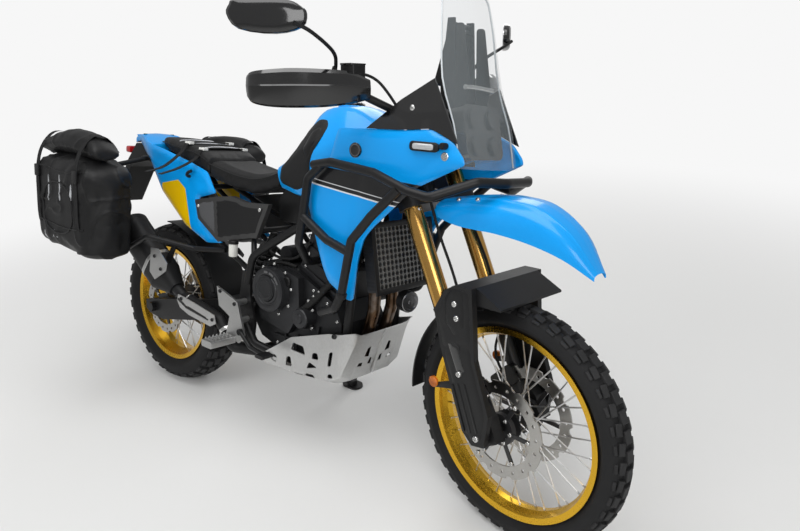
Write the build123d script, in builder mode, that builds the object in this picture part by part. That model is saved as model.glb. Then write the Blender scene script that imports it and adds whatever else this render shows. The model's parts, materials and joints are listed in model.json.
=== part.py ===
from build123d import *
from math import asin, atan2, cos, degrees, hypot, pi, radians, sin, sqrt, tan
import os

os.makedirs("parts", exist_ok=True)

# The machine is modelled upright: X forwards, Y to its left, Z up, rear axle over X = 0, millimetres.
# Steered pieces are turned about the steering axis and everything is leaned on the side stand at export.

# Chassis
WHEELBASE = 1610
RAKE = 27
TRAIL = 105
LEAN = 12.8
STEER_REST = -10.6
FORK_HALF_SPACING = 103
FORK_OFFSET = 34

# Wheels: tyre radius, half section, crown sag and crown half width
FRONT_R = 348
FRONT_HALF = 45
FRONT_BEAD = 268
FRONT_CROWN = (12, 36)
REAR_R = 334
REAR_HALF = 75
REAR_BEAD = 229
REAR_CROWN = (16, 62)
FRONT_AXLE_R = 10
REAR_AXLE_R = 12
RUNNING = 0.05
SEAT_GAP = 0.3

# Chain drive
CHAIN_Y = 92
PITCH = 15.875
REAR_TEETH = 46
FRONT_TEETH = 15
REAR_PITCH_R = PITCH / 2 / sin(pi / REAR_TEETH)
FRONT_PITCH_R = PITCH / 2 / sin(pi / FRONT_TEETH)
SPROCKET_X, SPROCKET_Z = 650, 450
PIVOT_X, PIVOT_Z = 565, 445

SIN_RAKE, COS_RAKE = sin(radians(RAKE)), cos(radians(RAKE))
STEER_FOOT = WHEELBASE + TRAIL
STEER_AXIS = Axis((STEER_FOOT, 0, 0), (-SIN_RAKE, 0, COS_RAKE))
FRONT_HUB = Plane((WHEELBASE, 0, FRONT_R))
REAR_HUB = Plane((0, 0, REAR_R))
FRONT_SPIN = Axis((WHEELBASE, 0, FRONT_R), (0, 1, 0))
REAR_SPIN = Axis((0, 0, REAR_R), (0, 1, 0))


def steer_point(along, ahead=0, side=0):
    """Point at a height along the steering axis, so far ahead of it and so far to the left."""
    return Vector(
        STEER_FOOT - along * SIN_RAKE + ahead * COS_RAKE,
        side,
        along * COS_RAKE + ahead * SIN_RAKE,
    )


def steer_plane(along, ahead=0, side=0):
    """Plane square to the steering axis."""
    return Plane(steer_point(along, ahead, side), x_dir=(COS_RAKE, 0, SIN_RAKE), z_dir=(-SIN_RAKE, 0, COS_RAKE))


def side_plane(y):
    """Sketch plane whose axes are X and Z, facing the right-hand side, at a distance to the left."""
    return Plane((0, y, 0), x_dir=(1, 0, 0), z_dir=(0, -1, 0))


def cross_plane(x):
    """Sketch plane across the machine: its axes are Y and Z, and it faces forwards."""
    return Plane((x, 0, 0), x_dir=(0, 1, 0), z_dir=(1, 0, 0))


# ---------------------------------------------------------------- parked attitude
def crown(radius, sag_half):
    """Radius of the arc across a tyre's crown, and of the ring on which its centre runs."""
    sag, half = sag_half
    tube = (sag * sag + half * half) / (2 * sag)
    return tube, radius - tube


front_tube, front_ring = crown(FRONT_R, FRONT_CROWN)
rear_tube, rear_ring = crown(REAR_R, REAR_CROWN)
front_spin = Vector(0, 1, 0).rotate(Axis((0, 0, 0), STEER_AXIS.direction), STEER_REST)
front_centre = Vector(WHEELBASE, 0, FRONT_R) - Vector(STEER_FOOT, 0, 0)
front_centre = front_centre.rotate(Axis((0, 0, 0), STEER_AXIS.direction), STEER_REST) + Vector(STEER_FOOT, 0, 0)


def ground(nose):
    """Upward normal of the ground, leaned and pitched, and how far each wheel's lowest point is along it."""
    side = -sin(radians(LEAN))
    normal = Vector(nose, side, sqrt(1 - nose**2 - side**2))
    front = front_centre.dot(normal) - front_ring * sqrt(1 - normal.dot(front_spin) ** 2) - front_tube
    rear = REAR_R * normal.Z - rear_ring * sqrt(1 - normal.Y**2) - rear_tube
    return normal, front, rear


low_nose, high_nose = -0.1, 0.1
for _ in range(60):
    nose = (low_nose + high_nose) / 2
    up, front_low, rear_low = ground(nose)
    if front_low < rear_low:
        low_nose = nose
    else:
        high_nose = nose
forwards = (Vector(1, 0, 0) - up * up.X).normalized()
leftwards = up.cross(forwards)
LEANED = Plane(
    origin=Vector(0, 0, -rear_low),
    x_dir=(forwards.X, leftwards.X, up.X),
    z_dir=(forwards.Z, leftwards.Z, up.Z),
).location


def ground_height(x, y):
    """Height of the ground under a point of the upright machine."""
    return (rear_low - up.X * x - up.Y * y) / up.Z


STAND_PIVOT = Vector(640, 158, 300)
FOOT_X, FOOT_Y = 705, 330
foot = Vector(FOOT_X, FOOT_Y, ground_height(FOOT_X, FOOT_Y))
leg_down = (foot - STAND_PIVOT).normalized()
LEG_FOLDED = Vector(-0.985, 0.12, 0.12).normalized()
stand_axis = leg_down.cross(LEG_FOLDED).normalized()
STAND_SWING = degrees(leg_down.get_angle(LEG_FOLDED) * pi / 180)
STAND_PIN = 6
STAND_BOSS = 14

# ---------------------------------------------------------------- wheels
def tyre_profile(radius, half, bead, bead_half, crown_sizes):
    """Cross-section of a tyre as radius and distance from the middle: bead, wall, shoulder and tread."""
    sag, crown_half = crown_sizes
    shoulder = radius - sag
    crown_r = (crown_half ** 2 + sag ** 2) / (2 * sag)
    flat = crown_r * tan(radians(LEAN) / 2)
    right = ((bead, -bead_half), (shoulder, -half), (radius, -flat))
    return right + tuple((r, -y) for r, y in reversed(right))


with BuildPart() as front_tyre:
    with BuildSketch(FRONT_HUB):
        with BuildLine():
            Polyline(*tyre_profile(FRONT_R, FRONT_HALF, FRONT_BEAD, 22, FRONT_CROWN), close=True)
        make_face()
    revolve(axis=FRONT_SPIN)

with BuildPart() as rear_tyre:
    with BuildSketch(REAR_HUB):
        with BuildLine():
            Polyline(*tyre_profile(REAR_R, REAR_HALF, REAR_BEAD, 46, REAR_CROWN), close=True)
        make_face()
    revolve(axis=REAR_SPIN)

with BuildPart() as front_rim:
    with BuildSketch(FRONT_HUB):
        with BuildLine():
            Polyline(
                (FRONT_BEAD - 16, -10),
                (FRONT_BEAD - 9, -24),
                (FRONT_BEAD - 5, -34),
                (FRONT_BEAD + 12, -36),
                (FRONT_BEAD + 12, -30),
                (FRONT_BEAD - SEAT_GAP, -22.5),
                (FRONT_BEAD - 5, -12),
                (FRONT_BEAD - 5, 12),
                (FRONT_BEAD - SEAT_GAP, 22.5),
                (FRONT_BEAD + 12, 30),
                (FRONT_BEAD + 12, 36),
                (FRONT_BEAD - 5, 34),
                (FRONT_BEAD - 9, 24),
                (FRONT_BEAD - 16, 10),
                close=True,
            )
        make_face()
    revolve(axis=FRONT_SPIN)

with BuildPart() as rear_rim:
    with BuildSketch(REAR_HUB):
        with BuildLine():
            Polyline(
                (REAR_BEAD - 22, -12),
                (REAR_BEAD - 10, -40),
                (REAR_BEAD - 5, -56),
                (REAR_BEAD + 12, -60),
                (REAR_BEAD + 12, -53.5),
                (REAR_BEAD - SEAT_GAP, -46.5),
                (REAR_BEAD - 6, -30),
                (REAR_BEAD - 14, -14),
                (REAR_BEAD - 14, 14),
                (REAR_BEAD - 6, 30),
                (REAR_BEAD - SEAT_GAP, 46.5),
                (REAR_BEAD + 12, 53.5),
                (REAR_BEAD + 12, 60),
                (REAR_BEAD - 5, 56),
                (REAR_BEAD - 10, 40),
                (REAR_BEAD - 22, 12),
                close=True,
            )
        make_face()
    revolve(axis=REAR_SPIN)


def spoke_ends(hub, flange_r, flange_y, rim_r, rim_y, count, lead):
    """Pairs of points for a crossed lacing: hub flange hole, rim nipple."""
    ends = []
    for i in range(count):
        side = 1 if i % 2 else -1
        turn = 1 if (i // 2) % 2 else -1
        rim_angle = 2 * pi * i / count
        hub_angle = rim_angle + turn * radians(lead)
        start = Vector(hub.X + flange_r * cos(hub_angle), side * flange_y, hub.Z + flange_r * sin(hub_angle))
        end = Vector(hub.X + rim_r * cos(rim_angle), side * rim_y, hub.Z + rim_r * sin(rim_angle))
        ends.append((start, end))
    return ends


with BuildPart() as front_spokes:
    for start, end in spoke_ends(FRONT_HUB.origin, 36, 29, FRONT_BEAD - 15.5, 7, 36, 62):
        with BuildSketch(Plane(start, z_dir=end - start)):
            RegularPolygon(2.3, 6)
    extrude(amount=(end - start).length)
    with BuildSketch(FRONT_HUB):
        with BuildLine():
            Polyline(
                (FRONT_AXLE_R + RUNNING, -58), (30, -58), (30, -52), (22, -48), (22, -34), (43, -31), (43, -27),
                (20, -20), (20, 20), (43, 27), (43, 31), (22, 34), (22, 48), (30, 52), (30, 58),
                (FRONT_AXLE_R + RUNNING, 58), close=True,
            )
        make_face()
    revolve(axis=FRONT_SPIN)

with BuildPart() as rear_spokes:
    for start, end in spoke_ends(REAR_HUB.origin, 56, 40, REAR_BEAD - 21.5, 8, 36, 55):
        with BuildSketch(Plane(start, z_dir=end - start)):
            RegularPolygon(2.3, 6)
    extrude(amount=(end - start).length)
    with BuildSketch(REAR_HUB):
        with BuildLine():
            Polyline(
                (REAR_AXLE_R + RUNNING, -82), (40, -82), (40, -60), (34, -46), (64, -42), (64, -38), (36, -28),
                (36, 28), (64, 38), (64, 42), (62, 60), (62, 86), (REAR_AXLE_R + RUNNING, 86), close=True,
            )
        make_face()
    revolve(axis=REAR_SPIN)

FRONT_DISC_R, FRONT_DISC_Y = 141, 66
with BuildPart() as front_discs:
    with BuildSketch(side_plane(0)):
        with Locations((WHEELBASE, FRONT_R)):
            Circle(FRONT_DISC_R)
            Circle(104, mode=Mode.SUBTRACT)
            with PolarLocations(FRONT_DISC_R + 5, 10):
                Circle(14, mode=Mode.SUBTRACT)
            with PolarLocations(122, 20, start_angle=9):
                Circle(5, mode=Mode.SUBTRACT)
            with PolarLocations(76, 6):
                Rectangle(70, 12)
            Circle(46)
            Circle(31, mode=Mode.SUBTRACT)
    extrude(amount=FRONT_DISC_Y + 4.5)
    with BuildSketch(side_plane(0)):
        with Locations((WHEELBASE, FRONT_R)):
            Circle(FRONT_DISC_R + 20)
    extrude(amount=FRONT_DISC_Y, mode=Mode.SUBTRACT)
    with BuildSketch(side_plane(-54)):
        with Locations((WHEELBASE, FRONT_R)):
            Circle(46)
            Circle(31, mode=Mode.SUBTRACT)
    extrude(amount=12)
    mirror(about=Plane.XZ)

REAR_DISC_R, REAR_DISC_Y = 122, 84
with BuildPart() as rear_disc:
    with BuildSketch(side_plane(-REAR_DISC_Y)):
        with Locations((0, REAR_R)):
            Circle(REAR_DISC_R)
            with PolarLocations(REAR_DISC_R + 5, 10):
                Circle(13, mode=Mode.SUBTRACT)
            Circle(88, mode=Mode.SUBTRACT)
            with PolarLocations(106, 20, start_angle=9):
                Circle(4.5, mode=Mode.SUBTRACT)
            with PolarLocations(66, 5):
                Rectangle(52, 14)
            Circle(48)
            Circle(20, mode=Mode.SUBTRACT)
    extrude(amount=5)
    with BuildSketch(side_plane(-REAR_DISC_Y + 2)):
        with Locations((0, REAR_R)):
            Circle(38)
            Circle(20, mode=Mode.SUBTRACT)
    extrude(amount=2)

with BuildPart() as rear_sprocket:
    with BuildSketch(side_plane(CHAIN_Y + 3.5)):
        with Locations((0, REAR_R)):
            Circle(REAR_PITCH_R - 4.5)
            Circle(88, mode=Mode.SUBTRACT)
            with PolarLocations(70, 6):
                Rectangle(50, 20)
            Circle(54)
            Circle(20, mode=Mode.SUBTRACT)
    extrude(amount=7)
    with BuildSketch(side_plane(CHAIN_Y - 3.5)):
        with Locations((0, REAR_R)):
            Circle(50)
            Circle(20, mode=Mode.SUBTRACT)
    extrude(amount=2.5)

with BuildPart() as chain:
    with BuildSketch(side_plane(CHAIN_Y + 9)) as chain_run:
        with Locations((0, REAR_R)):
            Circle(REAR_PITCH_R + 5)
        with Locations((SPROCKET_X, SPROCKET_Z)):
            Circle(FRONT_PITCH_R + 5)
        make_hull()
    extrude(amount=18)
    with BuildSketch(side_plane(CHAIN_Y + 9)) as chain_bore:
        with Locations((0, REAR_R)):
            RegularPolygon(REAR_PITCH_R - 4, 30, major_radius=False)
        with Locations((SPROCKET_X, SPROCKET_Z)):
            RegularPolygon(FRONT_PITCH_R - 4, 12, major_radius=False)
        make_hull()
    extrude(amount=18, mode=Mode.SUBTRACT)

# ---------------------------------------------------------------- frame
TUBE = 14
CRADLE_Y = 120
CASE_Y = 105
HEAD_LOW, HEAD_TOP, HEAD_R = 1052, 1160, 28
STEM_R = 15
ARM_IN, ARM_OUT = 108, 138
RACK_X, RACK_HALF, RACK_R, RACK_DEEP = -176, 62, 4, 20
TAIL_TOP = 1026
FRAME_TUBES = (
    (((1212, 22, 975), (1085, 104, 900), (800, 116, 776), (630, 146, 660), (606, 146, 560)), 60),
    (((1228, 22, 945), (1110, 80, 880), (1070, 116, 700), (1056, CRADLE_Y, 420), (996, CRADLE_Y, 331),
      (720, CRADLE_Y, 329), (650, 146, 350), (604, 146, 410)), 38),
)
STAND_TUBE = (650, 146, 352)
stand_lug = Plane(STAND_PIVOT - stand_axis * (STAND_BOSS + SEAT_GAP), z_dir=-stand_axis)
lug_top = stand_lug.to_local_coords(Vector(*STAND_TUBE))
with BuildPart() as main_frame:
    for route, bend in FRAME_TUBES:
        with BuildLine() as path:
            FilletPolyline(*route, radius=bend)
        with BuildSketch(Plane(path.line @ 0, z_dir=path.line % 0)):
            Circle(TUBE)
        sweep(path=path.line)
    with BuildSketch(side_plane(-ARM_OUT - 0.5)):
        with BuildLine():
            Polyline(
                (528, 400), (560, 345), (640, 345), (650, 420), (622, 520), (622, 600), (580, 600), (565, 500),
                close=True,
            )
        make_face()
    extrude(amount=10)
    mirror(about=Plane.XZ)
    with BuildSketch(steer_plane(HEAD_LOW)):
        Circle(HEAD_R)
    extrude(amount=HEAD_TOP - HEAD_LOW)
    with BuildSketch(side_plane(108)):
        with Locations((792, 770)):
            Circle(11)
    extrude(amount=216)
    with BuildSketch(side_plane(112)):
        with Locations((1000, 886.6)):
            Circle(11)
    extrude(amount=224)
    with BuildSketch(steer_plane(HEAD_LOW + 32)):
        with Locations((70, 0)):
            Rectangle(140, 12)
    extrude(amount=24)
    with BuildSketch(steer_plane(HEAD_LOW)):
        Circle(STEM_R + RUNNING)
    extrude(amount=HEAD_TOP - HEAD_LOW, mode=Mode.SUBTRACT)
    for lug in (
        ((925, 331), (970, 331), (960, 400), (935, 400)), ((1002, 438), (1056, 434), (1056, 476), (1002, 472)),
    ):
        with BuildSketch(side_plane(-CASE_Y - SEAT_GAP)):
            with BuildLine():
                Polyline(*lug, close=True)
            make_face()
    extrude(amount=12)
    mirror(about=Plane.XZ)
    with BuildSketch(stand_lug):
        Circle(20)
        with Locations((lug_top.X, lug_top.Y)):
            Circle(13)
        make_hull()
    extrude(amount=12)
    with BuildSketch(stand_lug):
        with Locations((lug_top.X, lug_top.Y)):
            Circle(9)
    extrude(amount=-22)
    with BuildSketch(stand_lug):
        Circle(STAND_PIN)
    extrude(amount=-2 * STAND_BOSS - 1)

SUB_R = 10
HOOP_Y = 248

with BuildPart() as subframe:
    for route, bend in (
        (((632, 142, 650), (585, 106, 735), (420, 100, 780), (150, 96, 862), (-120, 80, 930)), 40),
        (((610, 140, 560), (560, 104, 592), (420, 102, 650), (110, 96, 820), (40, 94, 892)), 40),
    ):
        with BuildLine() as path:
            FilletPolyline(*route, radius=bend)
        with BuildSketch(Plane(path.line @ 0, z_dir=path.line % 0)):
            Circle(SUB_R)
        sweep(path=path.line)
    mirror(about=Plane.XZ)
    for x, z, half in ((-112, 928, 82), (400, 786, 100), (585, 735, 106), (200, 846, 97)):
        with BuildSketch(side_plane(half)):
            with Locations((x, z)):
                Circle(SUB_R)
        extrude(amount=2 * half)

HOOP = (
    (-118, 91, 929), (-126, HOOP_Y, 898), (-300, HOOP_Y, 880), (-300, HOOP_Y, 620), (20, HOOP_Y, 600),
    (140, HOOP_Y, 660), (300, 150, 628), (436, 112, 642),
)
with BuildPart() as bag_hoops:
    with BuildLine() as path:
        FilletPolyline(*HOOP, radius=30)
    with BuildSketch(Plane(path.line @ 0, z_dir=path.line % 0)):
        Circle(SUB_R)
    sweep(path=path.line)
    mirror(about=Plane.XZ)
    with BuildSketch(side_plane(-187)):
        with BuildLine():
            Polyline((224, 643), (246, 643), (199.3, 558.7), (176, 574.9), close=True)
        make_face()
    extrude(amount=6)

with BuildPart() as swingarm:
    with BuildSketch(side_plane(-ARM_IN)):
        with BuildLine():
            Polyline(
                (-58, 316), (-58, 352), (30, 372), (540, 480), (583, 470), (583, 425), (540, 400), (60, 292),
                (-30, 300), close=True,
            )
        make_face()
    extrude(amount=ARM_OUT - ARM_IN)
    mirror(about=Plane.XZ)
    with BuildSketch(side_plane(ARM_IN)):
        with Locations((PIVOT_X, PIVOT_Z)):
            Circle(22)
        with Locations((405, 412)):
            RectangleRounded(60, 72, 12)
    extrude(amount=2 * ARM_IN)
    with BuildSketch(side_plane(152)):
        with Locations((0, REAR_R)):
            Circle(REAR_AXLE_R)
    extrude(amount=304)
    with BuildSketch(side_plane(156)):
        with Locations((0, REAR_R)):
            RegularPolygon(20, 6)
    extrude(amount=18)
    with BuildSketch(side_plane(-ARM_OUT)):
        with Locations((0, REAR_R)):
            RegularPolygon(20, 6)
    extrude(amount=18)

# ---------------------------------------------------------------- engine
with BuildPart() as crankcase:
    with BuildSketch(side_plane(CASE_Y)):
        with BuildLine():
            Polyline(
                (712, 350), (985, 350), (1025, 400), (1020, 500), (985, 560), (800, 640), (712, 640), close=True,
            )
        make_face()
    extrude(amount=2 * CASE_Y)
    with BuildSketch(side_plane(76)):
        with BuildLine():
            Polyline((600, 420), (640, 370), (712, 350), (712, 640), (640, 640), (600, 560), close=True)
        make_face()
    extrude(amount=76 + CASE_Y)

with BuildPart() as cylinder_block:
    with BuildSketch(side_plane(88)):
        with BuildLine():
            Polyline((802, 641), (984, 562), (1062, 745), (1050, 800), (905, 850), (870, 815), close=True)
        make_face()
    extrude(amount=176)

with BuildPart() as engine_covers:
    with BuildSketch(side_plane(-CASE_Y)):
        with BuildLine():
            Polyline((640, 500), (660, 440), (800, 420), (850, 500), (840, 620), (760, 638), (660, 630), close=True)
        make_face()
    extrude(amount=24)
    with BuildSketch(side_plane(-CASE_Y - 24)):
        with Locations((722, 560)):
            Circle(78)
    extrude(amount=26, taper=12)
    with BuildSketch(side_plane(-CASE_Y - 50)):
        with Locations((716, 566)):
            Circle(46)
    extrude(amount=8, taper=15)
    with BuildSketch(side_plane(-CASE_Y)):
        with Locations((865, 490)):
            Circle(40)
    extrude(amount=34, taper=8)
    with BuildSketch(side_plane(CASE_Y)):
        with Locations((835, 508)):
            Circle(76)
    extrude(amount=-44, taper=8)
    with BuildSketch(side_plane(CASE_Y + 2)):
        with BuildLine():
            Polyline((700, 380), (640, 395), (598, 420), (598, 480), (640, 512), (700, 520), (780, 520), (780, 380),
                     close=True)
        make_face()
    extrude(amount=-10)

with BuildPart() as exhaust_headers:
    for side in (-1, 1):
        with BuildLine() as path:
            FilletPolyline(
                (1054.3, side * 42, 726.6), (1095, side * 42, 709.2), (1100, side * 44, 560), (1064, side * 40, 420),
                (1008, side * 30, 334), (898, side * 26, 316), radius=28,
            )
        with BuildSketch(Plane(path.line @ 0, z_dir=path.line % 0)):
            Circle(20)
        sweep(path=path.line)
    with BuildSketch(cross_plane(700)):
        with Locations((0, 316)):
            RectangleRounded(110, 42, 18)
    extrude(amount=200)

with BuildPart() as muffler:
    with BuildLine() as path:
        FilletPolyline(
            (699.7, -20, 316), (655, -20, 316), (612, -80, 296), (560, -166, 318), (480, -166, 398), (260, -168, 436),
            (214, -172, 462), radius=24,
        )
    with BuildSketch(Plane(path.line @ 0, z_dir=path.line % 0)):
        Circle(22)
    sweep(path=path.line)
    with BuildSketch(Plane((216, -172, 460), x_dir=(0, 1, 0), z_dir=(-0.82, 0, 0.57))):
        RectangleRounded(60, 60, 28)
    with BuildSketch(Plane((160, -186, 502), x_dir=(0, 1, 0), z_dir=(-0.82, 0, 0.57))):
        RectangleRounded(100, 136, 44)
    loft()
    with BuildSketch(Plane((160, -186, 502), x_dir=(0, 1, 0), z_dir=(-0.82, 0, 0.57))):
        RectangleRounded(100, 136, 44)
    extrude(amount=280)

with BuildPart() as heat_shields:
    with BuildSketch(side_plane(-236.3)):
        with BuildLine():
            Polyline((147, 617), (198, 620), (255, 574), (248, 544), (171, 497), (137, 522), close=True)
        make_face()
    extrude(amount=2)
    with BuildSketch(side_plane(-194)):
        with BuildLine():
            Polyline(
                (262, 452), (254, 428), (274, 402), (330, 386), (462, 374), (496, 392), (486, 422), (369, 440),
                (290, 450), close=True,
            )
        make_face()
        with BuildLine():
            Polyline((256, 430), (310, 408), (450, 392), (450, 401), (310, 422), (262, 440), close=True)
        make_face(mode=Mode.SUBTRACT)
    extrude(amount=3)
    with BuildSketch(side_plane(-189.6)):
        with Locations((330, 424), (440, 405)):
            Circle(8)
    extrude(amount=4.4)

# ---------------------------------------------------------------- cooling and protection
with BuildPart() as radiator:
    with BuildSketch(Plane((1170.2, 0, 745), x_dir=(0, 1, 0), z_dir=(0.97, 0, 0.2))):
        RectangleRounded(290, 200, 8)
    extrude(amount=-36)

with BuildPart() as radiator_guard:
    with BuildSketch(Plane((1170.6, 0, 745.1), x_dir=(0, 1, 0), z_dir=(0.97, 0, 0.2))):
        RectangleRounded(292, 206, 8)
        with GridLocations(19, 17, 14, 11):
            RegularPolygon(8.4, 6, mode=Mode.SUBTRACT)
    extrude(amount=4)

with BuildPart() as horn:
    with BuildSketch(Plane((1184, 0, 602), z_dir=(1, -0.25, 0))):
        Circle(34)
    extrude(amount=26)
    with BuildSketch(Plane((1184, 0, 602))):
        Rectangle(8, 20)
    extrude(amount=42)

SKID = 5
SKID_SECTIONS = (
    (705, 100, 272, 148, 296, 156, 332),
    (846, 102, 275, 150, 304, 158, 425),
    (1015, 100, 299, 150, 318, 158, 480),
    (1062, 96, 322, 146, 344, 156, 488),
    (1114, 90, 486, 122, 492, 148, 504),
)
with BuildPart() as skid_plate:
    for x, floor_half, floor, knee_half, knee, top_half, top in SKID_SECTIONS:
        with BuildSketch(cross_plane(x)):
            with BuildLine():
                Polyline(
                    (-top_half, top), (-knee_half, knee), (-floor_half, floor), (floor_half, floor),
                    (knee_half, knee), (top_half, top), (top_half - SKID, top), (knee_half - SKID, knee + 1),
                    (floor_half - 2, floor + SKID), (2 - floor_half, floor + SKID), (SKID - knee_half, knee + 1),
                    (SKID - top_half, top), close=True,
                )
            make_face()
    loft(ruled=True)
    for x, low, high in ((760, 286, 314.8), (960, 302, 316)):
        with BuildSketch(Plane.XY.offset(low)):
            with Locations((x, -CRADLE_Y), (x, CRADLE_Y)):
                Circle(8)
        extrude(amount=high - low)

BAR = 13
BAR_ROUTES = (
    (((974, -213, 1003), (1052, -222, 1017), (1219, -228, 1003), (1339, -232, 968), (1400, -222, 958),
      (1490, -140, 1004), (1530, -60, 1004), (1530, 60, 1004), (1490, 140, 1004), (1400, 222, 958),
      (1339, 232, 968), (1219, 228, 1003), (1052, 222, 1017), (974, 213, 1003)), 30),
)
SIDE_BARS = (
    (((1010, -214, 1008), (952, -212, 960), (938, -212, 850), (916, -206, 760), (902, -150, 690), (902, -88, 690)), 26),
    (((1310, -232, 970), (1219, -230, 884), (1150, -226, 806), (1132, -218, 740), (1112, -212, 644),
      (1084, -208, 590), (1000, -178, 552), (978, -158, 545), (978, -105.2, 545)), 20),
    (((942, -213, 845), (1045, -218, 792), (1140, -222, 770)), 40),
)
with BuildPart() as crash_bars:
    for route, bend in SIDE_BARS:
        with BuildLine() as path:
            FilletPolyline(*route, radius=bend)
        with BuildSketch(Plane(path.line @ 0, z_dir=path.line % 0)):
            Circle(BAR)
        sweep(path=path.line)
    mirror(about=Plane.XZ)
    for route, bend in BAR_ROUTES:
        with BuildLine() as path:
            FilletPolyline(*route, radius=bend)
        with BuildSketch(Plane(path.line @ 0, z_dir=path.line % 0)):
            Circle(BAR)
        sweep(path=path.line)

# ---------------------------------------------------------------- tank, seat and bodywork
TANK_SECTIONS = (
    (690, 76, 900, 96, 950, 60, 985),
    (780, 104, 892, 122, 980, 74, 1068),
    (880, 112, 890, 140, 1040, 84, 1160),
    (980, 112, 890, 144, 1050, 90, 1172),
    (1084, 84, 936, 126, 1050, 70, 1124),
)
with BuildPart() as fuel_tank:
    for x, low_half, low, mid_half, mid, top_half, top in TANK_SECTIONS:
        with BuildSketch(cross_plane(x)):
            with BuildLine():
                Polyline(
                    (-low_half, low), (low_half, low), (mid_half, mid), (top_half, top), (0, top + 12),
                    (-top_half, top), (-mid_half, mid), close=True,
                )
            make_face()
    loft(ruled=True)

SHROUD = (
    (1038, 1115), (1154, 1118), (1253, 1120), (1354, 1129), (1420, 1101), (1455, 1062), (1461, 1044), (1320, 972),
    (1285, 943), (1176, 837), (1152, 805), (1135, 743), (1124, 612), (1089, 618), (1074, 631), (1026, 656),
    (999, 703), (970, 777), (956, 814), (927, 896), (930, 940), (1009, 1021),
)
SHROUD_TOE = 3
SHROUD_THICK = 24
SHROUD_TAB = 31


def shroud_plane(out):
    """Upright plane of the right-hand side panels, toed in forwards, so far outside their inner face."""
    toe = radians(SHROUD_TOE)
    outwards = Vector(sin(toe), -cos(toe), 0)
    return Plane(Vector(1250, -156, 0) + outwards * out, x_dir=(cos(toe), sin(toe), 0), z_dir=outwards)


def on_shroud(points):
    """X and Z of side view points on the toed-in plane."""
    return [((x - 1250) / cos(radians(SHROUD_TOE)), z) for x, z in points]


with BuildPart() as shroud_right:
    with BuildSketch(shroud_plane(0)):
        with BuildLine():
            Polyline(*on_shroud(SHROUD), close=True)
        make_face()
    extrude(amount=SHROUD_THICK)
    with BuildSketch(shroud_plane(0)):
        with Locations((-210, 1050)):
            Rectangle(36, 24)
    extrude(amount=-SHROUD_TAB)
with BuildPart() as shroud_left:
    mirror(shroud_right.part, about=Plane.XZ)

with BuildPart() as side_deflectors:
    with BuildSketch(shroud_plane(14)):
        with BuildLine():
            Polyline(
                *on_shroud([(1140, 1118.4), (1253, 1200), (1352, 1256), (1436, 1096), (1420, 1101.6), (1354, 1129.6),
                            (1253, 1120.6)]),
                close=True,
            )
        make_face()
    extrude(amount=5)
    mirror(about=Plane.XZ)

with BuildPart() as side_covers:
    with BuildSketch(side_plane(-124)):
        with BuildLine():
            Polyline(
                (287, 812), (412, 838), (502, 850), (580, 838), (700, 846), (640, 722), (604, 718), (428, 676),
                (307, 744), close=True,
            )
        make_face()
    extrude(amount=18)
    mirror(about=Plane.XZ)

SEAT_REAR = (
    (-89.7, 40, 992, 1021), (60, 100, 966, 1021), (240, 118.7, 926, 1001), (330, 118.7, 900, 970),
)
SEAT_FRONT = (
    (330.5, 118.7, 900, 968), (460, 118.7, 872, 946), (580, 112, 866, 936), (689.7, 90, 905, 968),
)
with BuildPart() as seat_rear:
    for x, half, low, top in SEAT_REAR:
        with BuildSketch(cross_plane(x)):
            with BuildLine():
                Polyline((-half, low), (half, low), (half * 0.8, top), (-half * 0.8, top), close=True)
            make_face()
    loft(ruled=True)
with BuildPart() as seat_front:
    for x, half, low, top in SEAT_FRONT:
        with BuildSketch(cross_plane(x)):
            with BuildLine():
                Polyline((-half, low), (half, low), (half * 0.8, top), (-half * 0.8, top), close=True)
            make_face()
    loft(ruled=True)

TAIL_SIDE = (
    (-262, 1020), (-170, 1026), (-84, 1000), (58, 980), (240, 943), (330, 920), (383, 846), (282, 818), (300, 738),
    (424, 668), (332, 655), (194, 703), (40, 815), (-49, 935), (-200, 985),
)
with BuildPart() as tail_fairing:
    with BuildSketch(side_plane(-119)):
        with BuildLine():
            Polyline(*TAIL_SIDE, close=True)
        make_face()
    extrude(amount=8)
    mirror(about=Plane.XZ)
    with BuildSketch(side_plane(119)):
        with BuildLine():
            Polyline((-262, 1020), (-196, TAIL_TOP), (-150, TAIL_TOP), (-90, 1000), (-90, 990), (-200, 985), close=True)
        make_face()
    extrude(amount=238)
    with BuildSketch(Plane.XY.offset(TAIL_TOP)):
        with Locations((RACK_X, -RACK_HALF), (RACK_X, RACK_HALF)):
            Circle(RACK_R)
    extrude(amount=-RACK_DEEP, mode=Mode.SUBTRACT)

PLATE_TOP, PLATE_FOOT = Vector(-330, 0, 900), Vector(-425, 0, 720)
PLATE_MIDDLE = (PLATE_TOP + PLATE_FOOT) * 0.5
PLATE_NORMAL = (PLATE_TOP - PLATE_FOOT).cross(Vector(0, 1, 0)).normalized()
with BuildPart() as plate_holder:
    with BuildSketch(side_plane(60)):
        with BuildLine():
            Polyline(
                (-100, 989.2), (-200, 984.7), (-250, 984.7), (PLATE_TOP.X, PLATE_TOP.Z),
                (PLATE_FOOT.X, PLATE_FOOT.Z), (-418, 716), (-300, 880), (-200, 938.3), (-100, 938.3), close=True,
            )
        make_face()
    extrude(amount=120)

with BuildPart() as signal_lamps:
    with BuildSketch(cross_plane(-332)):
        with Locations((0, 951)):
            RectangleRounded(90, 29, 10)
    extrude(amount=35.5)
    for side in (-1, 1):
        with BuildSketch(side_plane(side * 60)):
            with Locations((-330, 860)):
                Circle(6)
        extrude(amount=-side * 60)
        with BuildSketch(cross_plane(-348)):
            with Locations((side * 146, 860)):
                RectangleRounded(60, 30, 10)
        extrude(amount=36)
    with BuildSketch(shroud_plane(SHROUD_THICK)):
        with Locations((95, 1083)):
            SlotOverall(90, 26)
    front_pair = extrude(amount=22)
    mirror(front_pair, about=Plane.XZ)

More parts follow.
